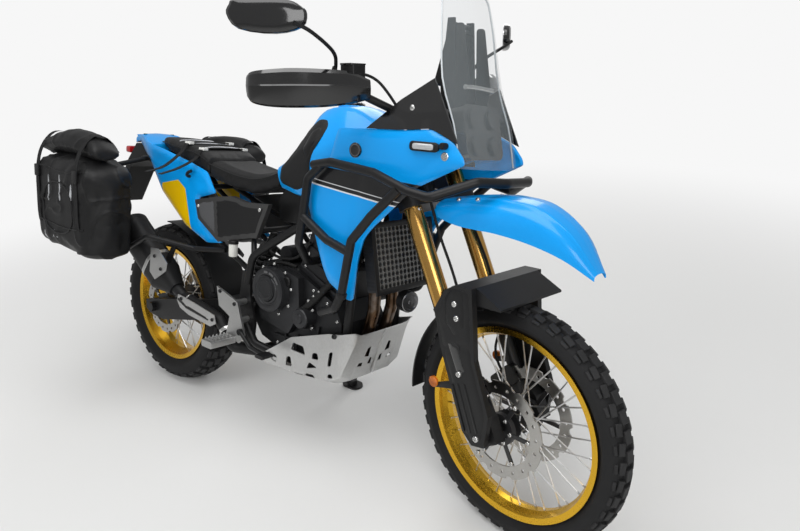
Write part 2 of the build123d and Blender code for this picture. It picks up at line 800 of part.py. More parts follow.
# ---------------------------------------------------------------- front fairing
with BuildPart() as headlight:
    with BuildSketch(Plane((1412, 0, 1128), x_dir=(0, 1, 0), z_dir=(0.97, 0, 0.24))):
        RectangleRounded(190, 150, 26)
    extrude(amount=-70)
    for y, z in ((-48, 36), (48, 36), (-48, -36), (48, -36)):
        with BuildSketch(Plane((1412, 0, 1128), x_dir=(0, 1, 0), z_dir=(0.97, 0, 0.24))):
            with Locations((y, z)):
                Circle(27)
        extrude(amount=8)

with BuildPart() as nav_tower:
    with BuildSketch(side_plane(-44)):
        with BuildLine():
            Polyline((1328, 1030), (1364, 1030), (1340, 1250), (1318, 1425), (1296, 1425), (1290, 1240), close=True)
        make_face()
    extrude(amount=6)
    mirror(about=Plane.XZ)
    with BuildSketch(side_plane(44)):
        with Locations((1350.5, 1052)):
            Rectangle(15, 30)
    extrude(amount=88)
    for x, z in ((1307, 1410), (1312, 1230)):
        with BuildSketch(side_plane(44)):
            with Locations((x, z)):
                Circle(7)
        extrude(amount=88)

with BuildPart() as dash:
    with BuildSketch(Plane((1302, 0, 1318), x_dir=(0, 1, 0), z_dir=(-0.97, 0, 0.24))):
        RectangleRounded(87.4, 150, 10)
    extrude(amount=24)

SCREEN_SECTIONS = (
    (1034, 1436, 145.8, 1496), (1092, 1422, 145.6, 1484), (1150, 1405, 146, 1468), (1260, 1360, 146, 1424),
    (1400, 1335, 132, 1386), (1510, 1312, 112, 1350),
)
with BuildPart() as screen:
    for z, edge, half, nose in SCREEN_SECTIONS:
        with BuildSketch(Plane.XY.offset(z)):
            with BuildLine():
                ThreePointArc((edge, -half), (nose, 0), (edge, half))
                Line((edge, half), (edge - 5, half - 1))
                ThreePointArc((edge - 5, half - 1), (nose - 5, 0), (edge - 5, -half + 1))
                Line((edge - 5, -half + 1), (edge, -half))
            make_face()
    loft(ruled=True)

SHOCK_FOOT, SHOCK_HEAD = Vector(420.5, 0, 456.2), Vector(585, 0, 735)
shock_line = (SHOCK_HEAD - SHOCK_FOOT).normalized()
with BuildPart() as rear_shock:
    with BuildSketch(Plane(SHOCK_FOOT, z_dir=shock_line)):
        Circle(16)
    extrude(amount=(SHOCK_HEAD - SHOCK_FOOT).length - SUB_R - 0.2)
    with BuildSketch(Plane(SHOCK_FOOT + shock_line * 34, z_dir=shock_line)):
        Circle(34)
    extrude(amount=190)

# ---------------------------------------------------------------- foot controls
REST_Y = 190
with BuildPart() as footrests:
    with BuildSketch(side_plane(-REST_Y)):
        with BuildLine():
            Polyline(
                (500, 534), (616, 500), (654, 390), (626, 355), (556, 368), (574, 440), (514, 466), close=True,
            )
        make_face()
    extrude(amount=8)
    with BuildSketch(side_plane(-REST_Y - 8)):
        with Locations((582, 362)):
            RectangleRounded(56, 24, 6)
    extrude(amount=100)
    with BuildSketch(side_plane(-ARM_OUT - 10.8)):
        with Locations((598, 492), (612, 432)):
            Circle(11)
    extrude(amount=REST_Y - ARM_OUT - 10.8)
    mirror(about=Plane.XZ)

with BuildPart() as foot_controls:
    with BuildLine() as path:
        FilletPolyline((648, -206, 400), (700, -208, 362), (770, -212, 356), radius=20)
    with BuildSketch(Plane(path.line @ 0, z_dir=path.line % 0)):
        Circle(7)
    sweep(path=path.line)
    with BuildSketch(side_plane(-196)):
        with Locations((784, 358)):
            RectangleRounded(40, 12, 4)
    extrude(amount=44)
    with BuildSketch(side_plane(-198)):
        with Locations((640, 400)):
            Circle(11)
    extrude(amount=12)
    with BuildLine() as path:
        FilletPolyline((648, 206, 400), (700, 208, 384), (770, 212, 380), radius=20)
    with BuildSketch(Plane(path.line @ 0, z_dir=path.line % 0)):
        Circle(6)
    sweep(path=path.line)
    with BuildSketch(side_plane(236)):
        with Locations((776, 380)):
            Circle(9)
    extrude(amount=44)
    with BuildSketch(side_plane(210)):
        with Locations((640, 400)):
            Circle(11)
    extrude(amount=12)

HUGGER_R = REAR_R + 14
with BuildPart() as hugger:
    with BuildSketch(side_plane(REAR_HALF)):
        with BuildLine():
            CenterArc((0, REAR_R), HUGGER_R, 14, 76)
            CenterArc((0, REAR_R), HUGGER_R + 4, 14, 76)
            for turn in (14, 90):
                Line(
                    (HUGGER_R * cos(radians(turn)), REAR_R + HUGGER_R * sin(radians(turn))),
                    ((HUGGER_R + 4) * cos(radians(turn)), REAR_R + (HUGGER_R + 4) * sin(radians(turn))),
                )
        make_face()
    extrude(amount=2 * REAR_HALF)
    with BuildSketch(side_plane(ARM_IN - 0.1)):
        with Locations((330, REAR_R + 102)):
            Circle(6)
    extrude(amount=2 * ARM_IN - 0.2)

RESERVOIR_X, RESERVOIR_Y = 528, -150
with BuildPart() as brake_reservoir:
    with BuildSketch(Plane((RESERVOIR_X, RESERVOIR_Y, 636))):
        Circle(16)
    extrude(amount=52)
    with BuildSketch(side_plane(-114.4)):
        with Locations((RESERVOIR_X, 620)):
            Rectangle(22, 44)
    extrude(amount=30)

with BuildPart() as rear_caliper:
    with BuildSketch(side_plane(-REAR_DISC_Y + 9)):
        with Locations((70, REAR_R + 84)):
            RectangleRounded(84, 56, 10)
    extrude(amount=23)
    with BuildSketch(side_plane(-REAR_DISC_Y + 1)):
        with Locations((0, REAR_R)):
            Circle(REAR_DISC_R + 1)
    extrude(amount=7, mode=Mode.SUBTRACT)

# ---------------------------------------------------------------- luggage
with BuildPart() as pannier_right:
    for y, grow in ((-258, 0), (-440, -24)):
        with BuildSketch(side_plane(y)):
            with BuildLine():
                Polyline(
                    (-370 - grow, 640 - grow), (-330 - grow, 570 - grow), (40 + grow, 550 - grow),
                    (76 + grow, 640 - grow), (86 + grow, 960 + grow), (-60, 1045 + grow), (-300, 1000 + grow),
                    (-384 - grow, 900 + grow), close=True,
                )
            make_face()
    loft(ruled=True)
with BuildPart() as pannier_left:
    mirror(pannier_right.part, about=Plane.XZ)

# ---------------------------------------------------------------- steering
CLAMP_LOW, CLAMP_TOP = 1010, 1168
FORK_R, SLIDER_R = 27, 21.5
with BuildPart() as triple_clamps:
    for along, thick in ((CLAMP_LOW, 34), (CLAMP_TOP, 26)):
        with BuildSketch(steer_plane(along)):
            with Locations((FORK_OFFSET, 0)):
                SlotOverall(2 * FORK_HALF_SPACING + 78, 78, rotation=90)
            Circle(40)
            with Locations((FORK_OFFSET, -FORK_HALF_SPACING), (FORK_OFFSET, FORK_HALF_SPACING)):
                Circle(FORK_R + RUNNING, mode=Mode.SUBTRACT)
        extrude(amount=thick)
    with BuildSketch(steer_plane(CLAMP_LOW)):
        Circle(STEM_R)
    extrude(amount=CLAMP_TOP - CLAMP_LOW)
    with BuildSketch(side_plane(56)):
        with BuildLine():
            Polyline((1196, 1066), (1234, 1084), (1246, 1160), (1232, 1178), (1212, 1172), close=True)
        make_face()
    extrude(amount=22)
    mirror(about=Plane.XZ)

with BuildPart() as fork_tubes:
    with BuildSketch(steer_plane(700, FORK_OFFSET)):
        with Locations((0, -FORK_HALF_SPACING), (0, FORK_HALF_SPACING)):
            Circle(FORK_R)
    extrude(amount=506)

AXLE_ALONG = (FRONT_R * COS_RAKE + TRAIL * SIN_RAKE)
AXLE_AHEAD = (FRONT_R * SIN_RAKE - TRAIL * COS_RAKE)
with BuildPart() as fork_legs:
    with BuildSketch(steer_plane(440, FORK_OFFSET)):
        with Locations((0, -FORK_HALF_SPACING), (0, FORK_HALF_SPACING)):
            Circle(SLIDER_R)
    extrude(amount=260)
    with BuildSketch(side_plane(-84)):
        with BuildLine():
            Polyline(
                tuple(steer_point(470, FORK_OFFSET - 25))[::2], tuple(steer_point(470, FORK_OFFSET + 25))[::2],
                tuple(steer_point(400, AXLE_AHEAD + 26))[::2], tuple(steer_point(332, AXLE_AHEAD + 26))[::2],
                tuple(steer_point(328, AXLE_AHEAD - 26))[::2], tuple(steer_point(400, FORK_OFFSET - 25))[::2],
                close=True,
            )
        make_face()
    extrude(amount=38)
    mirror(about=Plane.XZ)
    with BuildSketch(side_plane(124)):
        with Locations((WHEELBASE, FRONT_R)):
            Circle(FRONT_AXLE_R)
    extrude(amount=248)

with BuildPart() as front_calipers:
    with BuildSketch(side_plane(-57)):
        with Locations(Location((WHEELBASE - 92, FRONT_R + 78), 45)):
            RectangleRounded(96, 56, 12)
    extrude(amount=24)
    with BuildSketch(side_plane(-FRONT_DISC_Y + 1.5)):
        with Locations((WHEELBASE, FRONT_R)):
            Circle(FRONT_DISC_R + 2)
    extrude(amount=7.5, mode=Mode.SUBTRACT)
    mirror(about=Plane.XZ)

GUARD_Y = 130.3
with BuildPart() as fork_guards:
    with BuildSketch(side_plane(-GUARD_Y)):
        with BuildLine():
            Polyline(
                (1425, 665), (1462, 728), (1500, 750), (1556, 752), (1566, 660), (1575, 560), (1632, 420),
                (1622, 326), (1580, 316), (1545, 345), (1505, 440), (1455, 560), close=True,
            )
        make_face()
    extrude(amount=18)
    mirror(about=Plane.XZ)
    with BuildSketch(side_plane(GUARD_Y)):
        with BuildLine():
            Polyline((1470, 700), (1560, 705), (1640, 708), (1640, 714), (1556, 752), (1500, 750), (1470, 736),
                     close=True)
        make_face()
    extrude(amount=2 * GUARD_Y)
    with BuildSketch(side_plane(FRONT_HALF + 8)):
        with BuildLine():
            band_r = FRONT_R + 12
            CenterArc((WHEELBASE, FRONT_R), band_r, 100, 82)
            CenterArc((WHEELBASE, FRONT_R), band_r + 5, 100, 82)
            Line(
                (WHEELBASE + band_r * cos(radians(100)), FRONT_R + band_r * sin(radians(100))),
                (WHEELBASE + (band_r + 5) * cos(radians(100)), FRONT_R + (band_r + 5) * sin(radians(100))),
            )
            Line(
                (WHEELBASE + band_r * cos(radians(182)), FRONT_R + band_r * sin(radians(182))),
                (WHEELBASE + (band_r + 5) * cos(radians(182)), FRONT_R + (band_r + 5) * sin(radians(182))),
            )
        make_face()
    extrude(amount=2 * FRONT_HALF + 16)

FENDER_SECTIONS = (
    (1345, 74, 946, 900), (1430, 84, 962, 890), (1570, 84, 977, 890), (1665, 74, 968, 880), (1755, 58, 918, 856),
    (1826, 26, 828, 812),
)
with BuildPart() as front_fender:
    for x, half, ridge, edge in FENDER_SECTIONS:
        with BuildSketch(cross_plane(x)):
            with BuildLine():
                Polyline(
                    (-half, edge), (-half, edge + 8), (-0.55 * half, ridge - 9), (0, ridge), (0.55 * half, ridge - 9),
                    (half, edge + 8), (half, edge), (0.55 * half - 2, ridge - 15), (0, ridge - 6),
                    (-0.55 * half + 2, ridge - 15), close=True,
                )
            make_face()
    loft(ruled=True)
    with BuildSketch(steer_plane(CLAMP_LOW, FORK_OFFSET + 30)):
        Rectangle(90, 90)
    extrude(amount=-16)

HOSE_R = 4
HOSE_RIGHT = (
    (1180, -208, 1278), (1184, -162, 1275), (1216, -126, 1220), (1256, -98, 1141), (1286, -84, 1044),
    (1327, -76, 947), (1371, -80, 852), (1420, -74, 759), (1459, -72, 666), (1489, -70, 581), (1462, -69, 484),
    (1499, -69, 445),
)
HOSE_LEFT = (
    (1317, 60, 922), (1346, 68, 886), (1378, 80, 815), (1423, 74, 752), (1459, 72, 666), (1489, 70, 581),
    (1462, 69, 484), (1499, 69, 445),
)


def hose_line(route):
    """Straight runs joined by arcs, each arc as wide as its shorter run allows."""
    corners = [Vector(*point) for point in route]
    edges, start = [], corners[0]
    for before, corner, after in zip(corners, corners[1:], corners[2:]):
        arrive, leave = (corner - before).normalized(), (after - corner).normalized()
        half_turn = radians(arrive.get_angle(leave)) / 2
        reach = 0.45 * min((corner - before).length, (after - corner).length)
        middle = corner + (leave - arrive).normalized() * (reach / tan(half_turn)) * (1 / cos(half_turn) - 1)
        edges.append(Edge.make_line(start, corner - arrive * reach))
        edges.append(Edge.make_three_point_arc(corner - arrive * reach, middle, corner + leave * reach))
        print("hose arc radius", round(reach / tan(half_turn)))
        start = corner + leave * reach
    edges.append(Edge.make_line(start, corners[-1]))
    return Wire(edges)


with BuildPart() as brake_hose_right:
    hose_path = hose_line(HOSE_RIGHT)
    with BuildSketch(Plane(hose_path @ 0, z_dir=hose_path % 0)):
        Circle(HOSE_R)
    sweep(path=hose_path)
with BuildPart() as brake_hose_left:
    hose_path = hose_line(HOSE_LEFT)
    with BuildSketch(Plane(hose_path @ 0, z_dir=hose_path % 0)):
        Circle(HOSE_R)
    sweep(path=hose_path)

BAR_R = 11
BAR_END, BAR_BEND = Vector(1050, -430, 1236), Vector(1150, -240, 1246)
with BuildPart() as handlebar:
    with BuildLine() as path:
        FilletPolyline(
            BAR_END, BAR_BEND, (1229, -80, 1166), (1229, 80, 1166), (BAR_BEND.X, -BAR_BEND.Y, BAR_BEND.Z),
            (BAR_END.X, -BAR_END.Y, BAR_END.Z), radius=42,
        )
    with BuildSketch(Plane(path.line @ 0, z_dir=path.line % 0)):
        Circle(BAR_R)
    sweep(path=path.line)

along_bar = (BAR_BEND - BAR_END).normalized()
with BuildPart() as hand_controls:
    with BuildSketch(Plane(BAR_END + along_bar * 8, z_dir=along_bar)):
        Circle(17)
        Circle(BAR_R + SEAT_GAP, mode=Mode.SUBTRACT)
    extrude(amount=122)
    with BuildSketch(Plane(BAR_END + along_bar * 132, z_dir=along_bar)):
        Circle(19)
        Circle(BAR_R + SEAT_GAP, mode=Mode.SUBTRACT)
    extrude(amount=68)
    with BuildLine() as path:
        FilletPolyline((1136, -300, 1243), (1168, -318, 1241), (1100, -438, 1230), radius=10)
    with BuildSketch(Plane(path.line @ 0, z_dir=path.line % 0)):
        Circle(5.5)
    sweep(path=path.line)
    mirror(about=Plane.XZ)
    with BuildSketch(Plane.XY.offset(1257.4)):
        with Locations((1160, -263)):
            Rectangle(70, 24)
    extrude(amount=6)
    with BuildSketch(Plane((1166, -232, 1262))):
        with Locations((14, 2)):
            RectangleRounded(56, 44, 5)
    extrude(amount=38)

with BuildPart() as handguards:
    with BuildSketch(Plane.XY.offset(1190)):
        with BuildLine():
            Polyline(
                (1218, -212), (1220, -330), (1162, -446), (1056, -474), (1034, -470), (1034, -462), (1055, -466),
                (1156, -438), (1213, -328), (1211, -212), close=True,
            )
        make_face()
    extrude(amount=98)
    with BuildSketch(Plane(BAR_END, z_dir=along_bar)):
        Circle(13)
    extrude(amount=-40)
    with BuildSketch(Plane.XY.offset(1232)):
        with Locations((1186, -220)):
            Rectangle(54, 16)
    extrude(amount=14)
    mirror(about=Plane.XZ)

with BuildPart() as mirrors:
    with BuildLine() as path:
        FilletPolyline((1143, -270, 1256), (1166, -272, 1312), (1186, -310, 1340), (1200, -400, 1385), radius=16)
    with BuildSketch(Plane(path.line @ 0, z_dir=path.line % 0)):
        Circle(5)
    sweep(path=path.line)
    with BuildSketch(Plane((1146, -466, 1404), x_dir=(0.64, 0.77, 0), z_dir=(0.77, -0.64, 0))):
        with BuildLine():
            Polyline((-98, 6), (-80, 38), (50, 42), (96, 10), (84, -22), (20, -38), (-70, -28), close=True)
        make_face()
    extrude(amount=-24, taper=8)
    mirror(about=Plane.XZ)

# ---------------------------------------------------------------- side stand
with BuildPart() as side_stand:
    with BuildSketch(Plane(STAND_PIVOT, z_dir=leg_down)):
        Circle(13)
    extrude(amount=(foot - STAND_PIVOT).length - 14)
    with BuildSketch(Plane(foot, x_dir=(1, 0, -up.X / up.Z), z_dir=up)):
        SlotOverall(92, 56)
    extrude(amount=9)
    with BuildSketch(Plane(foot, x_dir=(1, 0, -up.X / up.Z), z_dir=up)):
        Circle(20)
    extrude(amount=30)
    with BuildSketch(Plane(STAND_PIVOT - stand_axis * STAND_BOSS, z_dir=stand_axis)):
        Circle(22)
    extrude(amount=2 * STAND_BOSS)
    with BuildSketch(Plane(STAND_PIVOT - stand_axis * STAND_BOSS, z_dir=stand_axis)):
        Circle(STAND_PIN + RUNNING)
    extrude(amount=2 * STAND_BOSS, mode=Mode.SUBTRACT)

ROOT_PIECES = {
    "main_frame": main_frame, "subframe": subframe, "bag_hoops": bag_hoops, "hugger": hugger,
    "brake_reservoir": brake_reservoir, "swingarm": swingarm, "crankcase": crankcase,
    "cylinder_block": cylinder_block, "engine_covers": engine_covers, "exhaust_headers": exhaust_headers,
    "muffler": muffler, "heat_shields": heat_shields, "radiator": radiator, "radiator_guard": radiator_guard,
    "horn": horn, "skid_plate": skid_plate, "crash_bars": crash_bars, "fuel_tank": fuel_tank,
    "shroud_right": shroud_right, "shroud_left": shroud_left, "side_deflectors": side_deflectors,
    "side_covers": side_covers, "seat_rear": seat_rear, "seat_front": seat_front, "tail_fairing": tail_fairing,
    "plate_holder": plate_holder, "signal_lamps": signal_lamps, "headlight": headlight, "nav_tower": nav_tower,
    "dash": dash, "screen": screen, "rear_shock": rear_shock, "footrests": footrests,
    "foot_controls": foot_controls, "rear_caliper": rear_caliper, "pannier_right": pannier_right,
    "pannier_left": pannier_left, "chain": chain, "rear_tyre": rear_tyre, "rear_rim": rear_rim,
    "rear_spokes": rear_spokes, "rear_disc": rear_disc, "rear_sprocket": rear_sprocket, "side_stand": side_stand,
}
STEERED_PIECES = {
    "triple_clamps": triple_clamps, "fork_tubes": fork_tubes, "fork_legs": fork_legs,
    "front_calipers": front_calipers, "fork_guards": fork_guards, "front_fender": front_fender,
    "handlebar": handlebar, "hand_controls": hand_controls, "handguards": handguards, "mirrors": mirrors,
    "brake_hose_right": brake_hose_right, "brake_hose_left": brake_hose_left, "front_tyre": front_tyre,
    "front_rim": front_rim, "front_spokes": front_spokes, "front_discs": front_discs,
}
leaned_pieces = {}
for label, piece in (ROOT_PIECES | STEERED_PIECES).items():
    part = piece.part
    if label in STEERED_PIECES:
        part = part.rotate(STEER_AXIS, STEER_REST)
    leaned_pieces[label] = part.moved(LEANED)

boxes = [part.bounding_box() for part in leaned_pieces.values()]
centre_x = (min(box.min.X for box in boxes) + max(box.max.X for box in boxes)) / 2
centre_y = (min(box.min.Y for box in boxes) + max(box.max.Y for box in boxes)) / 2
CENTRING = Location((-centre_x, -centre_y, 0))
for label, part in leaned_pieces.items():
    part = part.moved(CENTRING)
    part.label = label
    export_step(part, f"parts/{label}.step")


def parked(point):
    """A point of the upright machine in the parked frame."""
    return (CENTRING * LEANED * Location(point)).position


def parked_direction(direction):
    """A direction of the upright machine in the parked frame."""
    return (parked(direction) - parked(Vector(0, 0, 0))).normalized()


for axis in "XYZ":
    print("overall", axis, round(max(getattr(box.max, axis) for box in boxes)
                                 - min(getattr(box.min, axis) for box in boxes)))
print("steering", parked(Vector(STEER_FOOT, 0, 0)), parked_direction(STEER_AXIS.direction))
print("front wheel", parked(front_centre), parked_direction(front_spin))
print("rear wheel", parked(Vector(0, 0, REAR_R)), parked_direction(Vector(0, 1, 0)))
print("side stand", parked(STAND_PIVOT), parked_direction(stand_axis), STAND_SWING)
print("rack right", parked(Vector(RACK_X, -RACK_HALF, TAIL_TOP)), parked_direction(Vector(0, 0, 1)))
print("rack left", parked(Vector(RACK_X, RACK_HALF, TAIL_TOP)), parked_direction(Vector(0, 0, 1)))
print("plate face", parked(PLATE_MIDDLE), parked_direction(PLATE_NORMAL))
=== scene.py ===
import json
import math
from functools import partial

import bmesh
import bpy
from mathutils import Matrix, Vector, noise
from mathutils.bvhtree import BVHTree
from mathutils.geometry import delaunay_2d_cdt


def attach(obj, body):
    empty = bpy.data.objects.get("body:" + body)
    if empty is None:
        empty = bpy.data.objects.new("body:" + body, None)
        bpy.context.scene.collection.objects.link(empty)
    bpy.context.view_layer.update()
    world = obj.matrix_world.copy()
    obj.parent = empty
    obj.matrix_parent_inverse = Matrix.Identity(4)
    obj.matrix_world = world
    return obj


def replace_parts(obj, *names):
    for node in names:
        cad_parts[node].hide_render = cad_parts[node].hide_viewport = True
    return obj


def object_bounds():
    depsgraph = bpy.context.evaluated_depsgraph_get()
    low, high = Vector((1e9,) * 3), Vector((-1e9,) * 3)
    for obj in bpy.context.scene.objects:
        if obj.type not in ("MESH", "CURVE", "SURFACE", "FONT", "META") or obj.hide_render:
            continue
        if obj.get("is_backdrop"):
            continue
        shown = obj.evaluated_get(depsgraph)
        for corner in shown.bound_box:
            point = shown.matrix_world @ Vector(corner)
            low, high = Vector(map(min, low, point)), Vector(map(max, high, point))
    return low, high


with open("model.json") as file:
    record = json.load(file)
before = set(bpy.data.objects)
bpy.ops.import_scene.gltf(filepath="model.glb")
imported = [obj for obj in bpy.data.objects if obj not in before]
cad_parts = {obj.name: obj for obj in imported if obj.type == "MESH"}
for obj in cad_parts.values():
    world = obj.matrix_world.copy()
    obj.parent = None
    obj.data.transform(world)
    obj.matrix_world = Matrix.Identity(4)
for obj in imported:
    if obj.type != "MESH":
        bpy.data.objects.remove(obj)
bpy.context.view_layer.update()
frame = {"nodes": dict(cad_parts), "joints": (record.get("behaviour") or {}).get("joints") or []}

scene = bpy.context.scene
SIDES = ((-1, "right"), (1, "left"))


def plug(tree, target, links):
    """Links or fills the sockets of a node by name or number."""
    for socket, source in links:
        if hasattr(source, "is_output"):
            tree.links.new(source, target.inputs[socket])
        else:
            target.inputs[socket].default_value = source
    return target


def node(tree, kind, links=(), **values):
    """A new node of a tree, with settings and with its sockets linked or filled."""
    made = tree.nodes.new(kind)
    for key, value in values.items():
        setattr(made, key, value)
    return plug(tree, made, links)


def flow(tree, kind, links=(), socket=0, **values):
    """One output of a new node, for the next one to use."""
    return node(tree, kind, links, **values).outputs[socket]


def shown(name, data):
    """A new object that stands in the scene."""
    obj = bpy.data.objects.new(name, data)
    scene.collection.objects.link(obj)
    return obj


# Camera, lights and floor of a plain studio. The lamps are wide and soft, as in a showroom with
# a pale ceiling, and the floor and the surround are near white where they are seen or mirrored.
scene.view_settings.view_transform = "Standard"
camera = shown("camera", bpy.data.cameras.new("camera"))
camera.data.lens = 28.785
camera.data.sensor_width = 36
right_hand = Vector((0.78434706, 0.61661806, -0.06768941))
overhead = Vector((-0.18487434, 0.3365237, 0.92334894))
ahead = Vector((-0.59213273, 0.71171199, -0.37794824))
camera.matrix_world = Matrix.Translation((1.57319, -1.5253, 1.44714)) @ Matrix(
    (right_hand, overhead, -ahead)).transposed().to_4x4()
scene.camera = camera


def lamp(name, where, towards, size, power):
    """A soft square lamp that faces a point."""
    light = bpy.data.lights.new(name, "AREA")
    light.energy = power
    light.size = size
    obj = shown(name, light)
    obj.location = where
    obj.rotation_euler = (Vector(towards) - Vector(where)).to_track_quat("-Z", "Y").to_euler()
    return obj


lamp("lamp_ceiling", (0.3, -0.6, 3.4), (0, 0, 0.5), 2.6, 62)
lamp("lamp_front", (3.2, -2.2, 2.2), (0.3, 0, 0.6), 1.8, 42)
lamp("lamp_side", (-1.8, -3.2, 1.9), (-0.2, 0, 0.6), 1.8, 34).visible_glossy = False
lamp("lamp_back", (-1.2, 3.0, 2.6), (0, 0, 0.7), 2.0, 30)

PALE = 0.93
LIT_BY_SKY = 0.42
world = bpy.data.worlds.new("surround")
world.use_nodes = True
scene.world = world
sky = world.node_tree
rays = node(sky, "ShaderNodeLightPath").outputs
seen = flow(sky, "ShaderNodeMath", [(0, rays["Is Camera Ray"]), (1, rays["Is Transmission Ray"])], operation="MAXIMUM")
strength = flow(sky, "ShaderNodeMapRange", [("Value", seen), ("To Min", LIT_BY_SKY), ("To Max", PALE)])
plug(sky, sky.nodes["Background"], [("Color", (1, 1, 1, 1)), ("Strength", strength)])

floor_mesh = bpy.data.meshes.new("floor")
floor_mesh.from_pydata([(-9, -9, 0), (9, -9, 0), (9, 9, 0), (-9, 9, 0)], [], [(0, 1, 2, 3)])
floor = shown("floor", floor_mesh)
floor_paint = bpy.data.materials.new("floor_paint")
floor_paint.use_nodes = True
floor_tree = floor_paint.node_tree
add = partial(flow, floor_tree)
clouds = node(floor_tree, "ShaderNodeValToRGB", [("Fac", add("ShaderNodeTexNoise", [("Scale", 1.4)]))])
clouds.color_ramp.elements[0].color = (0.74, 0.74, 0.73, 1)
clouds.color_ramp.elements[1].color = (0.80, 0.80, 0.79, 1)
matt = plug(floor_tree, floor_tree.nodes["Principled BSDF"], [("Roughness", 0.85), ("Base Color", clouds.outputs[0])])
# far from the machine the floor runs into the pale surround without an edge
far = add("ShaderNodeVectorMath", [(0, add("ShaderNodeTexCoord", socket="Object"))], "Value", operation="LENGTH")
fade = add("ShaderNodeMapRange", [("Value", far), ("From Min", 1.1), ("From Max", 4.2)],
           interpolation_type="SMOOTHSTEP")
share = add("ShaderNodeMath", [(0, fade), (1, add("ShaderNodeLightPath", socket="Is Camera Ray"))],
            operation="MULTIPLY")
glow = add("ShaderNodeEmission", [("Strength", PALE)])
blend = add("ShaderNodeMixShader", [("Fac", share), (1, matt.outputs[0]), (2, glow)])
plug(floor_tree, floor_tree.nodes["Material Output"], [("Surface", blend)])
floor_mesh.materials.append(floor_paint)
floor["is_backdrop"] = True

# The machine stands leaning on its side stand with the bars turned to the right. Its pieces are
# drawn upright and straight ahead, in millimetres with the rear axle over X = 0, and are then
# turned by the same two places that the joints of the solids give.
joints = {joint["name"]: joint for joint in frame["joints"]}
RAKE = math.radians(27)
STEER_REST = math.radians(-10.6)
STEER_FOOT = Vector((1715, 0, 0))
FRONT_AXLE, REAR_AXLE = Vector((1610, 0, 348)), Vector((0, 0, 334))
leftwards = Vector(joints["rear_wheel_spin"]["axis"]).normalized()
steer_axis = Vector(joints["steering"]["axis"]).normalized()
square = leftwards.cross(steer_axis).normalized()
forwards = square * math.cos(RAKE) - steer_axis * math.sin(RAKE)
upwards = square * math.sin(RAKE) + steer_axis * math.cos(RAKE)
TURN = Matrix((forwards, leftwards, upwards)).transposed()
origin = Vector(joints["steering"]["pos_m"]) - TURN @ (STEER_FOOT / 1000)
PARKED = Matrix.Translation(origin) @ TURN.to_4x4() @ Matrix.Scale(0.001, 4)
STEERED = (PARKED @ Matrix.Translation(STEER_FOOT)
           @ Matrix.Rotation(STEER_REST, 4, (-math.sin(RAKE), 0, math.cos(RAKE)))
           @ Matrix.Translation(-STEER_FOOT))
UPRIGHT = PARKED.inverted()
FRONT_WHEEL = STEERED @ Matrix.Translation(FRONT_AXLE)
REAR_WHEEL = PARKED @ Matrix.Translation(REAR_AXLE)


# Frame, subframe, swingarm and luggage hoops: welded steel tube with a satin black powder coat,
# slightly pebbled, with the swingarm in the same black over an aluminium pressing.
def finish(name, colour, rough, metal=0.0, vary=0.15, grain=90.0, bump=0.12, coat=0.0, stretch=(1, 1, 1),
           cloud=5.0, **inputs):
    """Material whose colour, gloss and relief vary with a fine grain and a broad clouding."""
    made = bpy.data.materials.new(name)
    made.use_nodes = True
    tree = made.node_tree
    add = partial(flow, tree)
    place = add("ShaderNodeTexCoord", socket="Object")
    upright = add("ShaderNodeMapping", [("Vector", place), ("Rotation", TURN.transposed().to_euler())])
    spread = add("ShaderNodeMapping", [("Vector", upright), ("Scale", stretch)])
    fine = add("ShaderNodeTexNoise", [("Vector", spread), ("Scale", grain), ("Detail", 3)])
    broad = add("ShaderNodeTexNoise", [("Vector", upright), ("Scale", cloud), ("Detail", 4)])
    both = add("ShaderNodeMix", [("Factor", 0.4), ("A", broad), ("B", fine)], "Result")
    tint = node(tree, "ShaderNodeValToRGB", [("Fac", both)], name="tint")
    for stop, spot, share, lift in ((0, 0.3, 1 - vary, 0), (1, 0.7, 1 + vary, 0.01 * vary)):
        tint.color_ramp.elements[stop].position = spot
        tint.color_ramp.elements[stop].color = (*(min(1, c * share + lift) for c in colour), 1)
    gloss = add("ShaderNodeMapRange", [("Value", both), ("From Min", 0.3), ("From Max", 0.7),
                                       ("To Min", rough * 0.82), ("To Max", min(1, rough * 1.2))])
    relief = add("ShaderNodeBump", [("Strength", bump), ("Distance", 0.0006), ("Height", fine)], name="relief")
    plug(tree, tree.nodes["Principled BSDF"], [
        ("Metallic", metal), ("IOR", 1.5), ("Coat Weight", coat), ("Coat Roughness", 0.06),
        ("Specular IOR Level", 0.5 if metal or rough < 0.3 else 0.28), ("Base Color", tint.outputs[0]),
        ("Roughness", gloss), ("Normal", relief)] + [(key.replace("_", " "), value) for key, value in inputs.items()])
    return made


def dress(material, *names):
    """Gives solids of the frame their finish."""
    for name in names:
        for holder in frame["nodes"][name].material_slots:
            holder.material = material


powder_black = finish("powder_black", (0.0077, 0.0077, 0.0081), 0.4, grain=420, bump=0.2)
dress(powder_black, "main_frame", "subframe", "swingarm", "bag_hoops", "nav_tower")


# Tyres: block tread for gravel and road on smooth walls. The casing is turned from its section,
# and the blocks stand on the crown in rows, each row a ring of equal blocks that lean with it.
def cleaned(mesh, merge=0.0, outwards=True, front=None):
    """A mesh with points that meet merged and its faces turned outwards, or to the front of a sheet."""
    shape = bmesh.new()
    shape.from_mesh(mesh)
    if merge:
        bmesh.ops.remove_doubles(shape, verts=shape.verts, dist=merge)
    if outwards:
        bmesh.ops.recalc_face_normals(shape, faces=shape.faces)
    if front is not None and sum((f.normal for f in shape.faces), Vector()).dot(front) < 0:
        bmesh.ops.reverse_faces(shape, faces=shape.faces)
    shape.to_mesh(mesh)
    shape.free()
    return mesh


def points_mesh(name, verts, faces, merge=0.02):
    """A clean mesh from points."""
    mesh = bpy.data.meshes.new(name)
    mesh.from_pydata([tuple(v) for v in verts], [], faces)
    return cleaned(mesh, merge)


